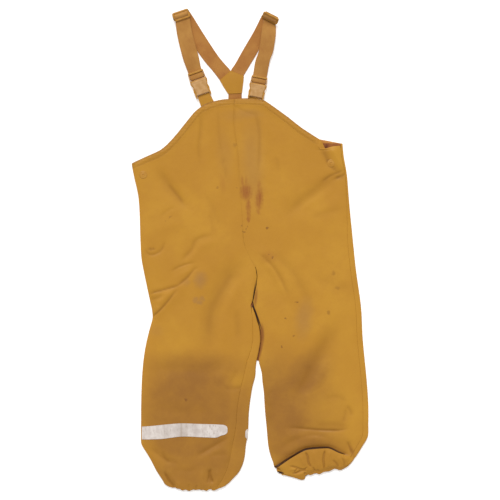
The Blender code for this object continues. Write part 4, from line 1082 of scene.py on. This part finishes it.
# --- webbing ---
# Sections from a strap's upper end down: left x, left y, right x, right y
REAR_RIGHT = (
    (-117.6, 371.6, -99.6, 384),
    (-112.8, 359, -92.2, 373.6),
    (-95, 332.4, -75, 345.8),
    (-73.2, 301.4, -53.8, 313.4),
    (-60.8, 286.8, -43, 299.4),
    (-48.2, 270.4, -31.4, 285.6),
    (-41, 260, -31.4, 273.6),
)
REAR_LEFT = (
    (19, 374.2, 40, 366),
    (6.2, 348.6, 25.2, 338.4),
    (-10, 320.8, 9.2, 310.2),
    (-23.2, 297.4, -4, 287.8),
    (-30.6, 285.6, -10.2, 276.8),
    (-30.6, 273.6, -10.6, 266.4),
)
FRONT_RIGHT = (
    (-119.2, 375.4, -97.8, 382.4),
    (-119, 363, -96, 370.6),
    (-117, 346, -93.4, 352),
    (-113.4, 328.6, -89.2, 334.2),
    (-106.8, 303.6, -82.6, 310.4),
)
FRONT_LEFT = (
    (21.4, 367.4, 41.4, 357.4),
    (18.4, 347.8, 41.4, 344.4),
    (15, 322.4, 38.6, 323.6),
    (13, 313.4, 36.6, 314.6),
    (8.4, 300, 32, 301.8),
)
BACK_ELASTIC = ((-34.6, 203.4, -13.2, 203.4), (-34.6, 258, -13.2, 258))
# Foot x, foot y, turn in degrees, and the share of its length that shows from above
BUCKLES = {"right": (-74.9, 248.4, 19.8, 1.0), "left": (9.4, 243.6, -10.8, 0.87)}
# Centre, turn about Z and then pitch about its own long side, in degrees
SLIDERS = {"right": (-110.0, 374.0, 6.6, 18.5, 0.0), "left": (32.6, 369.2, 8.3, -27.0, 55.0)}
STRAP_HALF = 11.2  # half width inside the clip
SLIDER_STRAP_HALF = 10.8
OVER_REAR = ELASTIC + GAP + ELASTIC / 2
UPPER_LAYER = ELASTIC + GAP
# The strap's way into the clip and round its bar, from the side: along the buckle, height
THREADING = ((43.0, 2.55), (38.6, 2.6), (35.8, 2.8), (34.2, 3.8), (32.4, 4.6), (29.6, 4.75))
LOOP_CENTRE = (27.8, 2.7)
LOOP_RADIUS = 1.95
LOWER_RUN = (30.0, 34.0, 38.5, 43.0)
# The strap's way over the slider's middle bar, from the side: along the strap, height
SLIDER_LOOP = (
    (7, -2.2), (5, -1.3), (3.3, 0.2), (1.9, 1.75), (0, 2.15), (-1.9, 1.75), (-3.3, 0.3), (-4.8, -1),
    (-7.6, -1.9),
)
RIBS = 11
RIB_HIGH = 0.09
RIBS_SINK = 0.1  # the webbing's face lies this far in, and the ribs stand up from it
WALL_LESS = 0.15  # what the face and the ribs leave of the wall
SELVAGE_DROP = 0.25  # the webbing's outer edges are lower by this


def in_buckle(point, side):
    """A point of a buckle's own frame in the garment's frame: y runs up its axis from the plate's foot."""
    foot_x, foot_y, degrees, share = BUCKLES[side]
    turn = math.radians(degrees)
    cos, sin = math.cos(turn), math.sin(turn)
    x, y = point[0], point[1] * share
    return (foot_x + x * cos - y * sin, foot_y + x * sin + y * cos)


def on_slider(point, side):
    """A point of a slider's own frame in the garment's frame."""
    x, y, z, turn, pitch = SLIDERS[side]
    place = Matrix.Translation((x, y, z)) @ Matrix.Rotation(math.radians(turn), 4, "Z")
    return place @ Matrix.Rotation(math.radians(pitch), 4, "X") @ Vector(point)


def webbing(name, node, stations, finish, thick=ELASTIC):
    """A strap of ribbed elastic through stations of left x, left y, right x, right y, left z, right z."""
    line = curve_through(stations, 2.2)
    line[:, 4:] = np.maximum(line[:, 4:], thick / 2)
    left, right = line[:, [0, 1, 4]], line[:, [2, 3, 5]]
    count = len(line) - 1
    shape, places = grid(RIBS * 4, count)
    uv = shape.loops.layers.uv.new("strap")
    reach = lengths((left + right) / 2)
    spots = {}
    for vert, u, along in places:
        row = round(along * count)
        rib = RIB_HIGH * abs(math.sin(math.pi * RIBS * u)) - SELVAGE_DROP * max(0.0, 1 - min(u, 1 - u) * 30)
        spots[vert] = (u * WEBBING_WIDE, reach[row], rib)
        vert.co = Vector(left[row] + (right[row] - left[row]) * u)
    shape.normal_update()
    first = min(shape.faces, key=lambda face: sum(spots[vert][1] for vert in face.verts))
    up = 1 if first.normal.z >= 0 else -1
    normals = {vert: vert.normal.copy() * up for vert in shape.verts}
    for vert, normal in normals.items():
        vert.co += normal * (spots[vert][2] + thick / 2 - RIBS_SINK)
    for face in shape.faces:
        for loop in face.loops:
            loop[uv].uv = spots[loop.vert][:2]
    if up < 0:
        bmesh.ops.reverse_faces(shape, faces=shape.faces)
    walled(shape, thick - WALL_LESS)
    off_floor(shape)
    return new_object(name, shape, finish, 50, node)


def flat_stations(sections, height):
    return [(*s, height, height) for s in sections]


def front_stations(sections, side):
    """The doubled front strap: down from the slider, round the clip's bar and back up beneath."""
    stations = []
    for y, z in SLIDER_LOOP:
        left, right = [on_slider((x, y, z), side) for x in (-SLIDER_STRAP_HALF, SLIDER_STRAP_HALF)]
        stations.append((left.x, left.y, right.x, right.y, left.z, right.z))
    stations += flat_stations(sections[1:], OVER_REAR + UPPER_LAYER)
    through = list(THREADING)
    loop_y, loop_z = LOOP_CENTRE
    for angle in np.radians(range(90, -91, -30)):
        through.append((loop_y - LOOP_RADIUS * np.cos(angle), loop_z + LOOP_RADIUS * np.sin(angle)))
    through += [(y, ELASTIC / 2) for y in LOWER_RUN]
    for y, z in through:
        stations.append((*in_buckle((-STRAP_HALF, y), side), *in_buckle((STRAP_HALF, y), side), z, z))
    return stations + flat_stations(sections[::-1], OVER_REAR)


# --- hardware ---
# Base, strap bar and end bar of the clip: half width, low and high along its axis, low and high
CLIP_BLOCKS = ((13.2, 21.3, 24.7, 0.6, 6.3), (11.8, 27.4, 29.6, 1.8, 3.6), (12.7, 35.1, 38.0, 3.8, 6.4))
CLIP_RAIL = ((11.9, 24.0), (13.3, 24.0), (12.7, 37.6), (11.4, 37.6))
# Half width and place along the arm: down the outer side past the plate's foot, and back up the inner side
CLIP_ARM = (
    (13.2, 24.4), (13.9, 22.6), (14.1, 20.4), (13.6, 18), (12.5, 15.6), (12, 13.6), (12.4, 11.6), (13.1, 9.4),
    (13.3, 7), (12.9, 4.6), (12.5, 3), (12.9, 1.2), (13, -1.4), (12.5, -3.8), (11.6, -5.2),
    (10.8, -4.6), (10.4, -1), (9.6, 2), (9.4, 12), (10, 20), (10.6, 24.4),
)
# Half width of the plate and place along its axis
PLATE_SIDE = ((10.4, 0), (10.1, 4.5), (10.2, 9), (10.9, 13), (11.8, 17.4), (12.6, 20.8), (12.7, 22.8))
PLATE_LOW, PLATE_TOP = 0.3, 7.0
PLATE_DOME = 0.25  # its sides are lower than its middle by this
PLATE_RIM = 0.9  # the rounding of its rim
PLATE_GROOVE_AT, PLATE_GROOVE = 19.5, 0.25  # a groove across it near its head
CLIP_ROUND, SLIDER_ROUND, SLIDER_CORNER = 0.45, 0.5, 2.6
SLIDER_X = (-13.6, -10.7, 10.7, 13.6)
SLIDER_Y = (-7.0, -4.4, -1.3, 1.3, 4.4, 7.0)
SLIDER_WALL = 2.4
SNAPS = {"right": (-170.6, 119.2), "left": (129.6, 137.6)}
SNAP_RING = 4.0  # the cloth's height under a snap is the mean of six places this far from its middle
# Radius, height over the cloth
SNAP_PROFILE = (
    (0, 0.2), (1.1, 0.25), (1.5, 0.85), (2.1, 0.95), (2.8, 0.7), (3.4, 0.5), (4.6, 0.6), (5.5, 0.5),
    (6.1, 0.25), (6.2, 0), (5.8, -0.3),
)


def clip(side):
    """The male half of a buckle: base, strap bars and rails, and the two arms that grip the plate's sides."""
    shape = bmesh.new()
    for half, near, far, low, high in CLIP_BLOCKS:
        prism(shape, ((-half, near), (half, near), (half, far), (-half, far)), low, high)
    for way in (-1, 1):
        for outline, low, high in ((CLIP_RAIL, 0.9, 6.0), (CLIP_ARM, 1.2, 5.7)):
            prism(shape, [(way * x, y) for x, y in outline], low, high)
    rounded(shape, CLIP_ROUND)
    for vert in shape.verts:
        vert.co.x, vert.co.y = in_buckle((vert.co.x, vert.co.y), side)
    return new_object(f"buckle_frame_{side}", shape, CLIP_FINISH, 32, f"buckle_clip_{side}")


def plate(side):
    """The plate of a buckle, pale beige partly of its own and partly as a painted reflection: hollow sides, a
    soft dome and a rounded rim.
    """
    shape, places = grid(24, 26)
    outline = curve_through(PLATE_SIDE, 0.5)
    foot_to_head = outline[-1][1] - outline[0][1]
    for vert, across, v in places:
        u = across * 2 - 1
        u = math.copysign(1 - (1 - abs(u)) ** 1.5, u)
        y = foot_to_head * smooth(v) * 0.5 + foot_to_head * v * 0.5
        half = np.interp(y, outline[:, 1], outline[:, 0])
        rim = max(max(0.0, abs(u) - 0.9) / 0.1, max(0.0, 1 - min(y, foot_to_head - y)))
        groove = PLATE_GROOVE * bell((y - PLATE_GROOVE_AT) / 0.7)
        top = PLATE_TOP - PLATE_DOME * u**2 - PLATE_RIM * rim**2 - groove
        bow = 0.5 * (1 - u * u) * v
        vert.co = (*in_buckle((u * half, y + bow), side), top)
    rim = [e for e in shape.edges if e.is_boundary]
    grown = bmesh.ops.extrude_edge_only(shape, edges=rim)["geom"]
    for vert in grown:
        if isinstance(vert, bmesh.types.BMVert):
            vert.co.z = PLATE_LOW
    low = [e for e in grown if isinstance(e, bmesh.types.BMEdge)]
    bmesh.ops.holes_fill(shape, edges=low, sides=0)
    outward(shape)
    name, node = f"buckle_plate_{side}", f"buckle_socket_{side}"
    return new_object(name, shape, SOCKET_FINISH, 50, node)


def at_corner(vert):
    """Whether a vertex of a slider lies on one of the frame's four upright corners."""
    return abs(abs(vert.co.x) - SLIDER_X[-1]) < 0.01 and abs(abs(vert.co.y) - SLIDER_Y[-1]) < 0.01


def slider(side):
    """A strap slider: a frame with rounded corners and a bar across its middle."""
    shape = bmesh.new()
    spots = {(x, y): shape.verts.new((x, y, -SLIDER_WALL / 2)) for x in SLIDER_X for y in SLIDER_Y}
    faces = []
    for i, (x0, x1) in enumerate(zip(SLIDER_X[:-1], SLIDER_X[1:])):
        for j, (y0, y1) in enumerate(zip(SLIDER_Y[:-1], SLIDER_Y[1:])):
            slot = i == 1 and j in (1, 3)
            if not slot:
                faces.append(shape.faces.new([spots[x0, y0], spots[x1, y0], spots[x1, y1], spots[x0, y1]]))
    pulled_up(shape, faces, SLIDER_WALL)
    outward(shape)
    corners = []
    for edge in shape.edges:
        a, b = edge.verts
        if at_corner(a) and at_corner(b) and abs(a.co.z - b.co.z) > 1:
            corners.append(edge)
    bevelled(shape, corners, SLIDER_CORNER, 4)
    rounded(shape, SLIDER_ROUND, 50.0)
    for vert in shape.verts:
        vert.co = on_slider(vert.co, side)
    return new_object(f"strap_slider_{side}", shape, CLIP_FINISH, 32, f"slider_{side}")


def snap(side, top_at):
    """A press snap: a flanged cap with a raised ring round its hollow middle."""
    x, y = SNAPS[side]
    turns = np.radians(range(0, 360, 60))
    ring = [top_at(x + SNAP_RING * math.cos(a), y + SNAP_RING * math.sin(a)) for a in turns]
    base = float(np.mean(ring)) + 0.1
    shape = bmesh.new()
    spots = [shape.verts.new((radius, 0, z)) for radius, z in SNAP_PROFILE]
    spots.append(shape.verts.new((0, 0, SNAP_PROFILE[-1][1])))
    for a, b in zip(spots[:-1], spots[1:]):
        shape.edges.new((a, b))
    about = {"cent": (0, 0, 0), "axis": (0, 0, 1), "angle": math.tau, "steps": 40, "use_merge": True}
    bmesh.ops.spin(shape, geom=shape.verts[:] + shape.edges[:], **about)
    bmesh.ops.remove_doubles(shape, verts=shape.verts, dist=0.001)
    outward(shape)
    bmesh.ops.translate(shape, vec=(x, y, base), verts=shape.verts)
    return new_object(f"press_snap_{side}", shape, SNAP_FINISH, 40, f"snap_{side}")


# --- patches and tape ---
YOKE = ((-31, 285.8), (-9.8, 277.4), (-10.4, 269), (-12.8, 249.6), (-35.2, 248.6), (-43, 261), (-48.4, 270.4))
YOKE_LOW, YOKE_HIGH = ELASTIC + GAP, ELASTIC + GAP + 0.8
YOKE_SETTLES = 0.4  # where the yoke leaves the crossed straps and lies on the thinner back elastic
CROSSING_ENDS = 264.0  # the Y where it does
TABS = {"right": (-78.2, -57.8), "left": (-2.4, 21.6)}
TAB_LOW, TAB_HIGH = 0.9, 3.3
PATCH_WORN = 0.12
PATCH_ROUND = 0.45
SEAM_IN = 1.0  # from a patch's rounded rim to its seam, and the seam's width
# X, upper edge, lower edge
TAPE_SECTIONS = (
    (-172.9, -283.2, -303.6), (-166, -282.8, -303.6), (-156, -282, -303.4), (-141, -280.4, -302.8),
    (-126, -279, -300.8), (-112, -278, -299.2), (-97, -278.2, -299), (-82, -278.8, -299.8),
    (-67, -279.2, -300.4), (-54, -279.6, -300.6), (-46, -280, -297.4), (-41, -280.6, -296.2),
    (-38, -282, -294.6), (-36, -285.4, -291.6),
)
BACK_TAPE_END = ((-7.4, -291, -299.4), (-6.2, -289, -301.4), (-4.6, -287.4, -302.8), (-3.4, -286.8, -303.2))
TAPE_CREASE = -109.3
CREASE_WORN, BESIDE_WORN = (0.55, 1.2), (0.25, 2.4)  # strength, half width
BESIDE_CREASE = 7.0
TAPE_WALL, TAPE_OVER = 0.5, 0.65  # the tape's own wall, and its face above the cloth
TAPE_HEIGHT = 3.0  # the cloth's height where the tape reaches past it


def patch(name, node, outline, low, high):
    """A flat sewn piece: rounded at its rim and pressed in along its seam."""
    shape = bmesh.new()
    prism(shape, outline, low, high)
    outward(shape)
    bevelled(shape, [e for f in shape.faces if f.normal.z > 0.9 for e in f.edges], PATCH_ROUND, 3)
    top = [f for f in shape.faces if f.normal.z > 0.99]
    bmesh.ops.inset_region(shape, faces=top, thickness=SEAM_IN, depth=-0.12)
    top = [f for f in shape.faces if f.normal.z > 0.99 and f.calc_area() > 60]
    bmesh.ops.inset_region(shape, faces=top, thickness=SEAM_IN, depth=0.15)
    thing = new_object(name, shape, CLOTH_FINISH, 50, node)
    set_wear_and_shade(thing.data, np.full(len(thing.data.vertices), PATCH_WORN))
    return thing


def yoke_patch():
    yoke = patch("cloth_yoke", "yoke", YOKE, YOKE_LOW, YOKE_HIGH)
    for vert in yoke.data.vertices:
        vert.co.z -= YOKE_SETTLES * MM * smooth((CROSSING_ENDS - vert.co.y / MM) / 12.0)
    return yoke


def tab_outline(side):
    """From the bib's edge up to the foot of the buckle's plate."""
    along = np.linspace(*TABS[side], 7)
    low = [(x, np.interp(x, FREE_EDGE[:, 0], FREE_EDGE[:, 1]) + 2 * GAP) for x in along]
    return low + [in_buckle((x, -GAP), side) for x in (10.0, -10.0)]


def tape(name, node, sections, top_at, step):
    """Reflective tape that follows the cloth under it."""
    line = curve_through(sections, step)
    count = len(line) - 1
    shape, places = grid(count, 12)
    for vert, along, part in places:
        x, high, low = line[round(along * count)]
        y = low + (high - low) * part
        height = top_at(x, y)
        vert.co = (x, y, (TAPE_HEIGHT if height is None else height) + TAPE_OVER)
    for _ in range(3):
        bmesh.ops.smooth_vert(shape, verts=shape.verts, factor=0.5, use_axis_z=True)
    walled(shape, TAPE_WALL)
    thing = new_object(name, shape, TAPE_FINISH, 50, node)
    past = points_of(thing)[:, 0] - TAPE_CREASE
    set_wear_and_shade(thing.data, band(past, *CREASE_WORN) + band(past - BESIDE_CREASE, *BESIDE_WORN))
    return thing


# --- the garment ---
def build():
    front_right = panel("cloth_front_right", "front_right", FRONT_CREASES)
    front_left = panel("cloth_front_left", "front_left", FRONT_CREASES + FLAP_TUCK)
    back_right = panel("cloth_back_right", "back_right", BACK_CREASES, front=False)
    back_left = panel("cloth_back_left", "back_left", BACK_CREASES, front=False)
    on_right, on_left = surface_of(front_right), surface_of(front_left)
    on_back_right, on_back_left = surface_of(back_right), surface_of(back_left)

    def on_front(x, y):
        heights = [h for h in (on_right(x, y), on_left(x, y)) if h is not None]
        return max(heights, default=None)

    centre = [tuple(spot) for spot in CENTRE_SEAM[1::12]] + [(-2.0, -8.0), (2.0, -16.0), (8.6, -28.0)]
    sewn_seam("seam_centre_front", curve_through(centre, 4.0), (on_right, on_left), seam_shows)
    sewn_seam("seam_side_left", side_line(front_left, -330.0, 164.0, 1), (on_left, on_back_left))
    sewn_seam("seam_inside_right", side_line(front_right, -366.0, -100.0, 1), (on_right, on_back_right))
    slit = side_line(front_left, -178.0, -20.0, -1)
    far_side = [points_of(front_right), points_of(back_right)]
    for spot in slit:
        spot[0] = (spot[0] + max(edge_x(points, spot[1]) for points in far_side)) / 2
    level = np.full(len(slit), SLIT_HIGH)
    # the strip at the bottom of the slit is painted dark as the slit's shade
    seam_strip("crotch_allowance_painted_shade", slit, SLIT_HALF, level, SHADED_INSIDE_FINISH, shaded_slit, SLIT_WALL)
    ankle = flap(on_left)
    stitches("stitching_bib_hem", offset_line(FREE_EDGE, HEM)[2:-1], on_front)
    tape("tape_front", "reflective_front", TAPE_SECTIONS, on_right, 2.0)
    tape("tape_back_end", "reflective_back_end", BACK_TAPE_END, on_back_right, 1.0)
    snap("right", on_right)
    snap("left", on_left)
    for side, sections in (("right", REAR_RIGHT), ("left", REAR_LEFT)):
        stations = flat_stations(sections, ELASTIC / 2)
        webbing(f"elastic_rear_{side}", f"strap_rear_{side}", stations, REAR_WEBBING)
    for side, sections in (("right", FRONT_RIGHT), ("left", FRONT_LEFT)):
        stations = front_stations(sections, side)
        webbing(f"elastic_front_{side}", f"strap_front_{side}", stations, FRONT_WEBBING)
    webbing("elastic_back", "back_elastic", flat_stations(BACK_ELASTIC, CLOTH / 2), REAR_WEBBING, CLOTH)
    yoke = yoke_patch()
    for side in ("right", "left"):
        patch(f"cloth_tab_{side}", f"tab_{side}", tab_outline(side), TAB_LOW, TAB_HIGH)
        plate(side)
        clip(side)
        slider(side)


# --- the stage, in metres ---
WHITE = (1.0, 1.0, 1.0, 1.0)
FLOOR_HALF = 3.0
FLOOR_DROP = 0.0003
FLOOR_GLOW = 0.3
SKY_STRENGTH = 0.6
KEY_ENERGY = 2.0
KEY_WIDTH = 24  # degrees
KEY_DIRECTION = (0.16, -1.0, -1.0)
CAMERA_PLACE = (0.0, -0.00104, 3.0)
SENSOR, LENS = 36.0, 135.0  # millimetres


def white_floor():
    shape = bmesh.new()
    bmesh.ops.create_grid(shape, x_segments=1, y_segments=1, size=FLOOR_HALF)
    floor = linked("floor", mesh_of("floor", shape))
    paper = Finish("pale_floor", 0.9)
    paper.shader.inputs["Emission Color"].default_value = WHITE
    paper.shader.inputs["Emission Strength"].default_value = FLOOR_GLOW
    floor.data.materials.append(paper.done(linear(252, 252, 252)))
    floor.location.z = -FLOOR_DROP


def stage():
    """Pale floor, soft light from above and beyond the straps, and a long lens straight above."""
    white_floor()
    world = bpy.data.worlds.new("studio")
    world.use_nodes = True
    sky = world.node_tree.nodes["Background"]
    sky.inputs["Color"].default_value = WHITE
    sky.inputs["Strength"].default_value = SKY_STRENGTH

    key = bpy.data.lights.new("key", "SUN")
    key.energy = KEY_ENERGY
    key.angle = math.radians(KEY_WIDTH)
    lamp = linked("key", key)
    lamp.rotation_mode = "QUATERNION"
    lamp.rotation_quaternion = Vector(KEY_DIRECTION).to_track_quat("-Z", "Y")

    lens = bpy.data.cameras.new("camera")
    lens.sensor_width, lens.lens = SENSOR, LENS
    camera = linked("camera", lens)
    camera.location = CAMERA_PLACE
    scene = bpy.context.scene
    scene.world = world
    scene.camera = camera
    scene.view_settings.view_transform = "Standard"


build()
stage()
